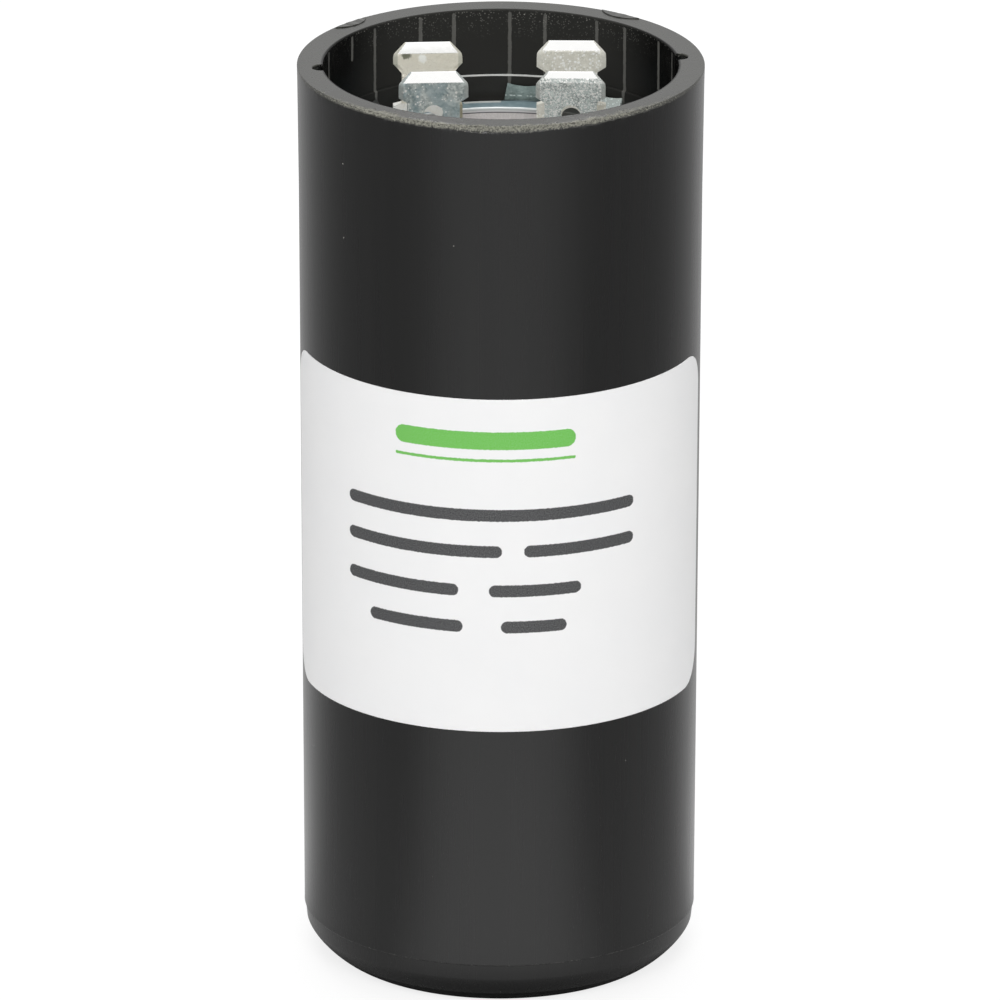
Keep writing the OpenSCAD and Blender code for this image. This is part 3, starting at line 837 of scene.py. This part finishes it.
def outside_rows(row):
    """Rows from the middle of the base up the outside. The foot is rounded by a curve between a circle and a
    chamfer: the powers of the two distances add up to one."""
    foot_r = side_radius(PARTING_Z) - PARTING_STEP
    round_h = PARTING_Z - FOOT_TAPER_H
    round_at = foot_r - FOOT_TAPER_H * math.tan(FOOT_TAPER) - FOOT_ROUND_W
    for share in (0, 0.4, 0.8, 0.97):
        row(share * round_at, 0)
    for a in np.linspace(0, 90 * DEG, 25):
        row(round_at + FOOT_ROUND_W * math.sin(a) ** (2 / FOOT_ROUND_POWER),
            round_h * (1 - math.cos(a) ** (2 / FOOT_ROUND_POWER)))
    row(foot_r, PARTING_Z - 0.03 * MM)
    # Painted highlight: the score mark on these two rows gives a lighter line along the parting step's upper
    # edge
    row(side_radius(PARTING_Z) - 0.02 * MM, PARTING_Z, score_and_highlight=0.15)
    row(side_radius(PARTING_Z) + 0.01 * MM, PARTING_Z + 0.05 * MM, score_and_highlight=0.42)
    row(side_radius(PARTING_Z + 0.15 * MM), PARTING_Z + 0.15 * MM)
    for z in np.append(np.linspace(PARTING_Z + 1 * MM, BREAK_Z - 1 * MM, 9), BREAK_Z - 0.2 * MM):
        row(side_radius(z), z)


def rim_rows(row, angle):
    """Rows over the rim. Its outer edge is worn down and in by amounts that follow the angle from the front,
    with random lumps between. The two pads stand up from the flat inside it."""
    ragged = wander(angle, 260, CHALK_SEED) + 0.5 * wander(angle, 90, CHALK_SEED + 1)
    from_front = np.abs(off_by(angle, [FRONT])[0])
    facing = np.clip(1.25 * np.cos(from_front), 0, 1)
    amount = np.clip(1.25 * np.cos(from_front) - 0.12 + 0.12 * wander(angle, 14, CHALK_SEED + 2), 0, 1)
    worn_in = np.interp(from_front, WORN_AT, WORN_IN)
    band_low = RIM_Z - np.interp(from_front, WORN_AT, WORN_DOWN) + WORN_LUMP * ragged * facing
    edge_r = RIM_R - 0.25 * worn_in

    def flat_row(radius, height=RIM_Z, at=None):
        depth = RIM_R - (radius if at is None else at) + CHALK_RAGGED * ragged
        row(radius, height, chalk_and_highlight=amount * np.clip((worn_in - depth) / CHALK_FADE, 0, 1))

    row(side_radius(band_low), band_low - 0.03 * MM)
    for k, share in enumerate(np.linspace(0, 1, 8)):
        lumps = wander(angle, 620, CHALK_SEED + 10 + k) + 0.7 * wander(angle, 330, CHALK_SEED + 30 + k // 2)
        out = WORN_LUMP * lumps * amount * math.sin(math.pi * (0.15 + 0.75 * share))
        row((1 - share) * side_radius(band_low) + share * edge_r + out * facing,
            (1 - share) * band_low + share * RIM_Z, chalk_and_highlight=amount * min(1, 0.35 + 1.6 * share))
    limit = np.minimum(PAD_EDGE_R, edge_r - 0.03 * MM)
    on_pad, pad_inner = pads(angle, limit)
    top = RIM_Z + np.where(on_pad, PAD_H * (0.8 + 0.2 * wander(angle, 300, CHALK_SEED + 3)), 0.0)
    row(limit + PAD_STEP, RIM_Z, chalk_and_highlight=amount)
    flat_row(limit, top)
    flat_row((limit + pad_inner) / 2, top)
    flat_row(pad_inner + PAD_STEP * on_pad, top, at=pad_inner)
    flat_row(pad_inner)
    inner = mouth_radius(angle, 0.0) + INNER_EDGE
    for share in (0.06, 0.12, 0.18, 0.24, 0.3, 0.36, 0.42, 0.5, 0.58, 0.68, 0.82):
        flat_row((1 - share) * pad_inner + share * inner)


def bore_rows(row, angle):
    """Rows from the rim's inner edge down the bore, over its ledge and shoulder, to the middle of the floor.
    The bore is scored by the corners of the ring's prongs and dustiest at the back."""
    inner = mouth_radius(angle, 0.0)
    score_and_highlight, reach = scored(angle)
    from_back = np.abs(off_by(angle, [BACK])[0])
    dusty = 0.3 + 0.7 * np.clip(np.cos(from_back), 0, 1) ** 2
    row(inner + INNER_FLAT, RIM_Z)
    row(inner + INNER_EDGE, RIM_Z)
    row(inner + INNER_EDGE / 3, RIM_Z - INNER_EDGE / 3)
    row(inner, RIM_Z - INNER_EDGE, bore=0.6)
    row(inner, RIM_Z - 0.22 * MM, score_and_highlight=0.4 * score_and_highlight, bore=1.0)
    beside_notch = 0.01 * MM
    for depth in np.concatenate([np.linspace(0.4 * MM, NOTCH_H - beside_notch, 4),
                                 [NOTCH_H, NOTCH_H + beside_notch],
                                 np.linspace(2.9 * MM, LEDGE_DEPTH - 0.1 * MM, 8)]):
        cut = score_and_highlight * np.clip((reach - depth) / SCORE_FADE, 0, 1)
        row(mouth_radius(angle, depth) + SCORE_DEPTH * cut, RIM_Z - depth, score_and_highlight=cut,
            bore=dusty * max(0.0, 1 - depth / DUST_DEPTH))
    # Painted highlight along the ledge's edge, strongest at the back and faint on the left
    on_left = np.cos(angle) < 0
    wear_and_highlight = 2 * np.clip((24 * DEG - from_back) / (6 * DEG), 0.04 * on_left, 1)
    row(MOUTH_R, LEDGE_Z + 0.16 * MM, score_and_highlight=score_and_highlight)
    row(MOUTH_R, LEDGE_Z + 0.11 * MM, chalk_and_highlight=wear_and_highlight, score_and_highlight=score_and_highlight)
    row(MOUTH_R - 0.1 * LEDGE_W, LEDGE_Z + 0.02 * MM, chalk_and_highlight=wear_and_highlight, score_and_highlight=score_and_highlight)
    row(MOUTH_R - 0.7 * LEDGE_W, LEDGE_Z - 0.01 * MM, chalk_and_highlight=wear_and_highlight, score_and_highlight=score_and_highlight)
    row(MOUTH_R - 0.9 * LEDGE_W, LEDGE_Z - 0.04 * MM, score_and_highlight=score_and_highlight)
    row(SEAT_R, LEDGE_Z - 0.12 * MM, score_and_highlight=score_and_highlight)
    row(SEAT_R, LEDGE_Z - 0.16 * MM, score_and_highlight=score_and_highlight)
    for radius, height in ((SEAT_R, HEADER_TOP), (SEAT_R, SHOULDER_Z), (CHAMBER_R, SHOULDER_Z),
                           (CHAMBER_R, FLOOR_T), (CHAMBER_R / 2, FLOOR_T), (0, FLOOR_T)):
        row(radius, height)


def cup():
    """The cup as one closed surface of revolution: rows of radius, height and marks round the axis, from the
    middle of the base, up the outside, over the rim and down the bore to the middle of the floor."""
    angle = cup_angles()
    nothing = np.zeros_like(angle)
    rows = []

    def row(radius, height, chalk_and_highlight=0.0, score_and_highlight=0.0, bore=0.0):
        rows.append([nothing + value for value in (radius, height, chalk_and_highlight, score_and_highlight, bore)])

    outside_rows(row)
    rim_rows(row, angle)
    bore_rows(row, angle)
    radius, height, *marks = np.array(rows).transpose(1, 0, 2)
    points = revolve(radius, height, angle[None, :])
    quads = grid_quads(len(rows), len(angle), closed=True)
    piece = new_piece("case_shell", points, quads, 38 * DEG, dict(zip(CUP_MARKS, marks)))
    settle(piece, phenolic(), "phenolic", "case_cup")


# The label

def label():
    """The label: columns at angles from the front, rows from its lower to its upper edge, both edges drawn
    in by a quarter circle at the corners. Each point lies on the drafted wall, and its map is in
    millimetres from the label's middle."""
    low, high = label_low.z, label_high.z - LABEL_LOWER
    middle = (low + high) / 2
    radius = side_radius(middle)
    width = (LABEL_LEFT + LABEL_RIGHT) * radius
    left, right = LABEL_CORNERS
    quarter = 1 - np.cos(np.linspace(0, 90, 19) * DEG)
    along = np.concatenate([left * quarter, np.linspace(left, width - right, 181)[1:-1],
                            width - right * quarter[::-1]])
    corner = np.where(along < width / 2, left, right)
    short = np.clip(corner - np.minimum(along, width - along), 0, corner)
    inset = corner - np.sqrt(corner ** 2 - short ** 2)
    near = LABEL_EDGE / (high - low)
    share = np.concatenate([[0, near], np.linspace(0, 1, 41)[1:-1], [1 - near, 1]])[:, None]
    z = (1 - share) * (low + inset) + share * (high - inset)
    angle = FRONT - LABEL_LEFT + along[None, :] / radius
    points = revolve(side_radius(z) + LABEL_T, z, angle)
    piece = new_piece("label_sheet", points, grid_quads(*z.shape), 60 * DEG)
    place_map = np.stack([(along[None, :] - LABEL_LEFT * radius) + 0 * z, z - middle], axis=-1) / MM
    loops = np.empty(len(piece.data.loops), np.int32)
    piece.data.loops.foreach_get("vertex_index", loops)
    layer = piece.data.uv_layers.new(name="label_mm")
    layer.data.foreach_set("uv", place_map.reshape(-1, 2)[loops].astype(np.float32).ravel())
    solid = piece.modifiers.new("thickness", "SOLIDIFY")
    solid.thickness = LABEL_T - LABEL_GLUE
    solid.offset = -1
    settle(piece, label_stock(), "label_stock", "label")


# Sheet metal

def border(quads):
    """Directed edges of the quads that no neighbour shares: the outline and the holes of a sheet."""
    edges = np.concatenate([quads[:, [i, (i + 1) % 4]] for i in range(4)])
    key = np.sort(edges, axis=1)
    _, back, count = np.unique(key, axis=0, return_inverse=True, return_counts=True)
    return edges[count[back.ravel()] == 1]


def both_faces(first, second, quads):
    """Closed sheet from two faces with the same quads: the second is turned over, and a wall of quads joins
    each border edge of the first to the same edge of the second."""
    rim = border(quads)
    wall = np.stack([rim[:, 1], rim[:, 0], rim[:, 0] + len(first), rim[:, 1] + len(first)], axis=-1)
    return np.concatenate([first, second]), np.concatenate([quads, quads[:, ::-1] + len(first), wall])


def pierce(plan, quads, columns, block, middle, radius):
    """Takes the grid's cells between the block's first and last row and column out of the quads, and makes
    rings that go from the gap's outline to a circle about the middle. Gives the points, the quads that are
    left and the quads of the rings."""
    low, high, left, right = block
    i, j = quads[:, 0] // columns, quads[:, 0] % columns
    inside = (i >= low) & (i < high) & (j >= left) & (j < right)
    loop = np.concatenate([
        low * columns + np.arange(left, right), np.arange(low, high) * columns + right,
        high * columns + np.arange(right, left, -1), np.arange(high, low, -1) * columns + left])
    square = plan[loop]
    spot = np.array([0.0, middle])
    lean = square - spot
    circle = spot + radius * lean / np.linalg.norm(lean, axis=1)[:, None]
    shares = np.linspace(0, 1, 5)[1:, None, None]
    rings = (1 - shares) * square + shares * circle
    fresh = len(plan) + np.arange(rings.shape[0] * len(loop)).reshape(rings.shape[0], -1)
    filled = quads_of(np.concatenate([loop[None, :], fresh]), closed=True)
    return np.concatenate([plan, rings.reshape(-1, 2)]), quads[~inside], filled


# The star ring

def prong_face(bend_r, bend_z, across):
    """One face of the prongs' sheet, by the distance along a prong and across it: a root line, an arc about
    the bend's middle, then a straight run up to a tip hollowed by a circle. Gives radius and height."""
    a = np.linspace(0, PRONG_BEND, 9)[1:, None]
    hollow_r = ((PRONG_W / 2) ** 2 + PRONG_HOLLOW ** 2) / (2 * PRONG_HOLLOW)
    reach = RING_ROOT_R + PRONG_REACH - PRONG_HOLLOW + hollow_r - np.sqrt(hollow_r ** 2 - across ** 2)
    bend_out = RING_ROOT_R + bend_r * np.sin(a) + 0 * across
    bend_up = bend_z - bend_r * np.cos(a) + 0 * across
    share = np.linspace(0, 1, 7)[1:, None]
    run = (reach - bend_out[-1]) * share
    climb = run * math.tan(PRONG_BEND)
    return np.concatenate([bend_out, bend_out[-1] + run]), np.concatenate([bend_up, bend_up[-1] + climb])


def star_ring():
    """The ring: a flat band whose outer edge is a circle, with a chord where each prong starts, and prongs
    that narrow evenly from root to tip and bend up to the bore. The upper and the lower face have the same
    grid, and a wall joins their borders."""
    across = np.linspace(-PRONG_ROOT_W / 2, PRONG_ROOT_W / 2, 13)
    on_prong = np.arctan2(across, RING_ROOT_R)
    between = np.linspace(on_prong[-1], PRONG_STEP - on_prong[-1], 14)[1:-1]
    one = np.concatenate([on_prong, between])
    reach = np.concatenate([np.hypot(across, RING_ROOT_R), np.full(len(between), RING_OUTER_R)])
    turns = PRONG_AT + np.arange(PRONG_COUNT) * PRONG_STEP
    angle = (turns[:, None] + one).ravel()
    share = np.linspace(0, 1, 6)[:, None]
    band = RING_INNER_R * (1 - share) + np.tile(reach, PRONG_COUNT) * share
    columns = len(angle)
    quads = [grid_quads(len(share), columns, closed=True)]
    last = (len(share) - 1) * columns
    faces = {}
    for face, low, bend_r in (("under", 0.0, PRONG_INNER_R + RING_T), ("over", RING_T, PRONG_INNER_R)):
        flat = revolve(band, np.full_like(band, HEADER_TOP + low), angle[None, :])
        out, up = prong_face(bend_r, HEADER_TOP + low + bend_r, across * PRONG_W / PRONG_ROOT_W)
        taper = 1 + (PRONG_W / PRONG_ROOT_W - 1) * np.linspace(0, 1, len(out) + 1)[1:, None]
        x = out * np.cos(turns)[:, None, None] - taper * across * np.sin(turns)[:, None, None]
        y = out * np.sin(turns)[:, None, None] + taper * across * np.cos(turns)[:, None, None]
        prongs = np.stack([x, y, up + 0 * x], axis=-1)
        faces[face] = np.concatenate([flat.reshape(-1, 3), prongs.reshape(-1, 3)])
    size = out.size
    for k in range(PRONG_COUNT):
        root = last + k * len(one) + np.arange(len(across))
        rest = band.size + k * size + np.arange(size).reshape(out.shape)
        quads.append(quads_of(np.concatenate([root[None, :], rest])))
    points, sides = both_faces(faces["over"], faces["under"], np.concatenate(quads))
    piece = new_piece("star_ring", points, sides, 40 * DEG)
    soften(piece, 40 * DEG)
    settle(piece, zinc_sheet(), "zinc_steel", "retaining_ring")


# The terminals

def strip_path(s):
    """Middle line of the folded strip seen along X, by the distance s from the middle of its base: flat,
    a quarter circle, then straight up. Gives Y, Z and the normal's Y and Z."""
    middle_r = FOLD_R + BLADE_T / 2
    flat = BLADE_PITCH / 2 - middle_r
    curve = middle_r * math.pi / 2
    side = np.sign(s)
    way = np.abs(s)
    a = np.clip((way - flat) / middle_r, 0, math.pi / 2)
    rise = np.clip(way - flat - curve, 0, None)
    y = np.minimum(way, flat) + middle_r * np.sin(a)
    z = BLADE_T / 2 + middle_r * (1 - np.cos(a)) + rise
    return side * y, z, side * np.sin(a), -np.cos(a)


def strip_tip():
    """Distance along the strip from the middle of its base to a blade's tip."""
    middle_r = FOLD_R + BLADE_T / 2
    return BLADE_PITCH / 2 - middle_r + middle_r * math.pi / 2 + BLADE_H - BLADE_T / 2 - middle_r


def half_width(drop, slope):
    """Half the strip's width at a distance below the tip: cut corner, head that slopes in over a height to
    the side notch, and full width. The corner's cut and the head's side meet in a curve, the lower of the two
    less a share of how close they are."""
    past_head = np.clip((drop - HEAD_H) / slope + 1, 0, 1)
    past_neck = np.clip((drop - HEAD_H - NECK_H) / NECK_RISE, 0, 1)
    side = (BLADE_W - (BLADE_W - NECK_W) * (past_head - past_neck)) / 2
    cut = BLADE_W / 2 - CORNER_W + drop * CORNER_W / CORNER_H
    return (side + cut - np.sqrt((side - cut) ** 2 + CORNER_SOFT ** 2)) / 2


def strip_plan(wire_z, slope):
    """Flat pattern of the strip, as points across and along it, with a detent hole and a wire hole in each
    blade and the rivet hole. A square of cells round each hole is left out of the grid, and rings that go
    from the square to the circle fill it."""
    tip = strip_tip()
    blade_holes = [(tip - DETENT_DROP, DETENT_R), (tip - BLADE_H + wire_z, WIRE_HOLE_R)]
    holes = blade_holes + [(0.0, RIVET_HOLE_R)] + [(-middle, radius) for middle, radius in blade_holes]
    drops = np.concatenate([np.linspace(0, BEVEL_H, 5), CORNER_H + np.linspace(-0.15, 0.25, 5) * MM,
                            [1.7 * MM, HEAD_H - slope[0], HEAD_H - slope[1], HEAD_H]])
    neck_end = HEAD_H + NECK_H
    foot = np.linspace(neck_end + NECK_RISE + 0.3 * MM, tip - RIVET_R * HOLE_BLOCK, 18)[:-1]
    hole_rows = [middle + radius * HOLE_BLOCK * np.linspace(-1, 1, 9) for middle, radius in holes]
    ends = np.concatenate([drops, [neck_end, neck_end + NECK_RISE], foot])
    along = np.unique(np.concatenate([ends - tip, tip - ends] + hole_rows).round(9))
    inner = RIVET_HOLE_R * HOLE_BLOCK * np.linspace(-1, 1, 13)
    half = half_width(tip - np.abs(along), np.where(along < 0, slope[0], slope[1]))
    edge = np.array([SIDE_BEVEL, SIDE_BEVEL / 2, 0.0])
    side = half[:, None] - edge[None, :]
    narrow = np.minimum(1, 0.97 * (half - SIDE_BEVEL) / inner[-1])
    across = np.concatenate([-side[:, ::-1], inner * narrow[:, None], side], axis=1)
    return along, across, inner, holes


def strip_thickness(across, drop, slope):
    """Thickness of the strip: thinned towards a blade's tip, and towards the sides of its head."""
    tip = BEVEL_IN * np.clip(1 - drop / BEVEL_H, 0, 1)
    edge = half_width(drop, slope) - np.abs(across)
    side = np.where(drop < HEAD_H - NECK_RISE / 2, SIDE_IN * np.clip(1 - edge / SIDE_BEVEL, 0, 1), 0)
    return BLADE_T - 2 * np.maximum(tip, side)


def terminal(node, x, turn, wire_z, slope, short, material):
    """A strip folded into a U with a blade at each end, each blade lowered evenly by its own amount. Its two
    faces lie half the thickness either side of the folded middle line, and a wall joins them along the
    outline and the holes."""
    along, across, inner, holes = strip_plan(wire_z, slope)
    rows, columns = across.shape
    s = np.repeat(along[:, None], columns, axis=1)
    plan = np.stack([across, s], axis=-1).reshape(-1, 2)
    quads = grid_quads(rows, columns)
    left = (columns - len(inner)) // 2
    right = left + len(inner) - 1
    rings = []
    for middle, radius in holes:
        near = np.where(np.abs(along - middle) < radius * HOLE_BLOCK * 1.0001)[0]
        block = (near[0], near[-1], left, right)
        plan, quads, ring = pierce(plan, quads, columns, block, middle, radius)
        rings.append(ring)
    quads = np.concatenate([quads] + rings)
    slopes = np.where(plan[:, 1] < 0, slope[0], slope[1])
    offset = strip_thickness(plan[:, 0], strip_tip() - np.abs(plan[:, 1]), slopes) / 2
    y, z, ny, nz = strip_path(plan[:, 1])
    z = z * (1 - np.where(plan[:, 1] < 0, short[0], short[1]) / BLADE_H)
    outer = np.stack([plan[:, 0], y + offset * ny, z + offset * nz], axis=-1)
    inside = np.stack([plan[:, 0], y - offset * ny, z - offset * nz], axis=-1)
    points, faces = both_faces(outer, inside, quads)
    turned = np.stack([x + points[:, 0] * math.cos(turn) - points[:, 1] * math.sin(turn),
                       points[:, 0] * math.sin(turn) + points[:, 1] * math.cos(turn),
                       points[:, 2] + HEADER_TOP], axis=-1)
    piece = new_piece(node + "_strip", turned, faces, 12 * DEG)
    soften(piece, 14 * DEG)
    settle(piece, material, "tinned_sheet", node)


# Small turned pieces

def lathe(name, profile, x, material, slot, node, steps=96):
    """Closed piece turned about an upright axis at x, from a profile of radii and heights."""
    profile = np.array(profile)
    angle = np.arange(steps) * TURN / steps
    points = revolve(profile[:, :1], profile[:, 1:], angle[None, :])
    points[..., 0] += x
    piece = new_piece(name, points, grid_quads(len(profile), steps, closed=True), 50 * DEG)
    settle(piece, material, slot, node)


def arc(centre_r, centre_z, radius, start, end, steps):
    """Points of an arc in the profile, from the start to the end angle in degrees."""
    a = np.linspace(start, end, steps) * DEG
    return [(centre_r + radius * math.cos(t), centre_z + radius * math.sin(t)) for t in a]


def rivets():
    """Rivets: a clinched end below, a shank, and a domed head whose radius follows from its width and
    height, with a rounded edge."""
    metal = plain_metal("rivet_metal", (0.62, 0.62, 0.61, 1), (0.78, 0.78, 0.77, 1), 0.34, (1, 1, 0.2))
    head_r, head_edge, head_z = 2.5 * MM, 0.1 * MM, HEADER_TOP + BLADE_T
    clinch_r, clinch_h, clinch_round = 2.3 * MM, 0.9 * MM, 0.2 * MM
    for side, node in ((-1, "rivet_left"), (1, "rivet_right")):
        low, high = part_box(node)
        rise = high.z - head_z
        dome_r = (rise * rise + head_r * head_r) / (2 * rise)
        span = math.degrees(math.asin((head_r - head_edge) / dome_r))
        clinch_top = low.z + clinch_h
        profile = [(0, low.z), (clinch_r - clinch_round, low.z)]
        profile += arc(clinch_r - clinch_round, low.z + clinch_round, clinch_round, -90, 0, 5)
        profile += [(clinch_r, clinch_top), (RIVET_R, clinch_top), (RIVET_R, head_z)]
        profile += [(head_r - head_edge, head_z), (head_r, head_z + 0.06 * MM)]
        profile += [(head_r - 0.03 * MM, head_z + 0.14 * MM)]
        profile += arc(0, high.z - dome_r, dome_r, 90 - span + 2, 90, 14)
        lathe(node + "_turned", profile, side * TERMINAL_X, metal, "rivet_metal", node)


def vent_plug():
    """Rubber vent plug: two rounded lips either side of the header and a dimple in its top."""
    low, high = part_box("vent_plug")
    neck, lip, edge, dimple = 1.6 * MM, 2.3 * MM, 0.3 * MM, 0.8 * MM
    under, over = header_low.z, HEADER_TOP
    profile = [(0, low.z), (lip - edge, low.z)] + arc(lip - edge, low.z + edge, edge, -90, 0, 6)
    profile += [(lip, under), (neck, under), (neck, over), (lip, over)]
    profile += arc(lip - edge, high.z - edge, edge, 0, 90, 6)
    profile += [(dimple + 0.1 * MM, high.z), (dimple, high.z - 0.1 * MM)]
    profile += [(dimple - 0.1 * MM, high.z - 0.4 * MM)]
    profile += [(0.4 * MM, high.z - 0.5 * MM), (0, high.z - 0.5 * MM)]
    rubber = soft_black("vent_rubber", (0.020, 0.018, 0.017, 1), (0.055, 0.050, 0.047, 1), 0.6)
    lathe("vent_plug_turned", profile, 0.0, rubber, "vent_rubber", "vent_plug", 64)


def packed_nodes():
    """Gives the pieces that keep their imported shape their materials."""
    foil = plain_metal("foil_tab", (0.66, 0.68, 0.70, 1), (0.82, 0.83, 0.84, 1), 0.3, (0.1, 1, 0.1))
    washer = plain_metal("washer_metal", (0.55, 0.56, 0.56, 1), (0.72, 0.73, 0.73, 1), 0.36, (1, 1, 0.2))
    looks = {
        "header_disc": board(),
        "seal_gasket": soft_black("seal_rubber", (0.012, 0.012, 0.012, 1), (0.035, 0.035, 0.034, 1), 0.65),
        "washer_left": washer,
        "washer_right": washer,
        "lead_tab_left": foil,
        "lead_tab_right": foil,
        "winding_roll": layered(
            "foil_roll", (0.30, 0.27, 0.22, 1), (0.72, 0.73, 0.74, 1), 0.7, 0.45, 0.25 * MM),
        "roll_wrap": layered(
            "kraft_paper", (0.36, 0.25, 0.13, 1), (0.60, 0.44, 0.25, 1), 0.0, 0.75, 0.1 * MM),
        "anchor_compound": soft_black("pitch", (0.006, 0.006, 0.006, 1), (0.020, 0.019, 0.018, 1), 0.4),
    }
    for node, material in looks.items():
        frame["nodes"][node].data.materials.clear()
        frame["nodes"][node].data.materials.append(material)


# The studio

FLOOR_HALF = 6.0
FLOOR_DROP = 0.02 * MM
FLOOR_GLOW = 0.80
LOOK_AT = Vector((0, 0, 45 * MM))
# Place, size and power of each lamp
LAMPS = {
    "top_light": ((0.0, 0.55, 1.25), 1.1, 8.0),
    "front_light": ((0.0, -1.6, 1.3), 1.0, 21.3),
    "left_light": ((-1.5, -0.3, 0.9), 0.9, 2.7),
    "right_light": ((1.5, -0.3, 0.9), 0.9, 2.7),
}
CAMERA_AT = (0, -1.3718, 0.5307)
CAMERA_TILT = 70.447 * DEG
CAMERA_ROLL = 0.11 * DEG
LENS_MM = 569.7
SENSOR_MM = 36


def seen_white(tree):
    """1 for rays from the camera, from mirrors and through glass, which see the background, else 0."""
    ray = outputs(add(tree, "LightPath"))
    return largest(ray["Is Camera Ray"], ray["Is Glossy Ray"], ray["Is Transmission Ray"])


def painted_floor_light(at):
    """Painted light on the floor, seen only in reflections, as a lit table would show it: a painted pool of
    light in front of the object, less so behind it, a painted contact shadow close to its foot, and dimmer
    again far away, but for a stretch straight behind."""
    away = derive("VectorMath", {0: at}, "Value", operation="LENGTH")
    x, y, _ = split(at)
    ahead = -1.0 * y / away
    front = ramp(ahead, 0.60, 1.0, 0.0, 0.70) * ramp(away, 17 * MM, 31 * MM)
    front = front * ramp(away, 60 * MM, 180 * MM, 1.0, 0.6)
    straight = ramp(ahead, -0.6, -0.92, 0.0, 0.20) * ramp(away, 80 * MM, 180 * MM)
    straight = straight * ramp(x, -20 * MM, 20 * MM, 1.0, 1.3)
    far = ramp(away, 60 * MM, 180 * MM, 1.0, 0.49) + straight
    back = ramp(ahead, -0.1, -0.8, 0.22, 0.51) * ramp(away, 16 * MM, 21 * MM)
    back = back * ramp(away, 25 * MM, 75 * MM, 1.45, 1.05)
    return front + back * far


def floor():
    """White floor. The camera sees it mostly by its own light, with the object's shadow on the rest, while
    reflections see the painted floor light.
    """
    corners = np.array([[-1, -1, 0], [1, -1, 0], [1, 1, 0], [-1, 1, 0]]) * FLOOR_HALF
    corners[:, 2] = -FLOOR_DROP
    mesh = bpy.data.meshes.new("floor")
    mesh.from_pydata(corners, [], [[0, 1, 2, 3]])
    plane = bpy.data.objects.new("floor", mesh)
    bpy.context.scene.collection.objects.link(plane)
    material = bpy.data.materials.new("floor")
    material.use_nodes = True
    tree = material.node_tree
    tree.nodes.clear()
    at = add(tree, "TexCoord", output="Object")
    mirrored = outputs(add(tree, "LightPath"))["Is Glossy Ray"]
    glow = FLOOR_GLOW + mirrored * (painted_floor_light(at) - FLOOR_GLOW)
    lit = add(tree, "BsdfDiffuse", {"Color": (0.25, 0.25, 0.25, 1)})
    light = add(tree, "Emission", {"Color": (1, 1, 1, 1), "Strength": glow})
    pale = add(tree, "AddShader", {0: lit, 1: light})
    plain = add(tree, "BsdfDiffuse", {"Color": (0.80, 0.80, 0.80, 1)})
    both = add(tree, "MixShader", {0: seen_white(tree), 1: plain, 2: pale})
    feed(tree.nodes.new("ShaderNodeOutputMaterial"), {"Surface": both})
    mesh.materials.append(material)


def world():
    """White all round for the camera and for reflections, and a softer even light on the surfaces."""
    made = bpy.data.worlds.new("studio")
    bpy.context.scene.world = made
    made.use_nodes = True
    tree = made.node_tree
    feed(tree.nodes["Background"], {"Color": (1, 1, 1, 1), "Strength": 0.40 + 0.60 * seen_white(tree)})
    made.cycles.sampling_method = "NONE"


def softbox(name, place, size, power):
    """Square area lamp that looks at the middle of the object."""
    lamp = bpy.data.lights.new(name, "AREA")
    lamp.shape = "SQUARE"
    lamp.size = size
    lamp.energy = power
    thing = bpy.data.objects.new(name, lamp)
    bpy.context.scene.collection.objects.link(thing)
    thing.location = place
    thing.rotation_euler = (LOOK_AT - Vector(place)).to_track_quat("-Z", "Y").to_euler()


def camera():
    """Camera at the photograph's angle: far off, a long lens, looking down by about 19.6 degrees."""
    lens = bpy.data.cameras.new("camera")
    lens.sensor_width = SENSOR_MM
    lens.lens = LENS_MM
    lens.clip_end = 100
    thing = bpy.data.objects.new("camera", lens)
    bpy.context.scene.collection.objects.link(thing)
    thing.location = CAMERA_AT
    tilt = Matrix.Rotation(CAMERA_TILT, 4, "X") @ Matrix.Rotation(CAMERA_ROLL, 4, "Z")
    thing.rotation_euler = tilt.to_euler()
    bpy.context.scene.camera = thing


cup()
label()
star_ring()
left_plate = tinned("tinned_left", -TERMINAL_X, LEFT_TURN, LEFT_FRONT, LEFT_REAR, LEFT_SPOTS)
right_plate = tinned("tinned_right", TERMINAL_X, RIGHT_TURN, RIGHT_FRONT, RIGHT_REAR)
terminal("terminal_left", -TERMINAL_X, LEFT_TURN, LEFT_WIRE_Z, LEFT_SLOPE, LEFT_SHORT, left_plate)
terminal("terminal_right", TERMINAL_X, RIGHT_TURN, RIGHT_WIRE_Z, RIGHT_SLOPE, RIGHT_SHORT, right_plate)
rivets()
vent_plug()
packed_nodes()
floor()
world()
for lamp_name, (place, size, power) in LAMPS.items():
    softbox(lamp_name, place, size, power)
camera()
bpy.context.scene.view_settings.view_transform = "Standard"
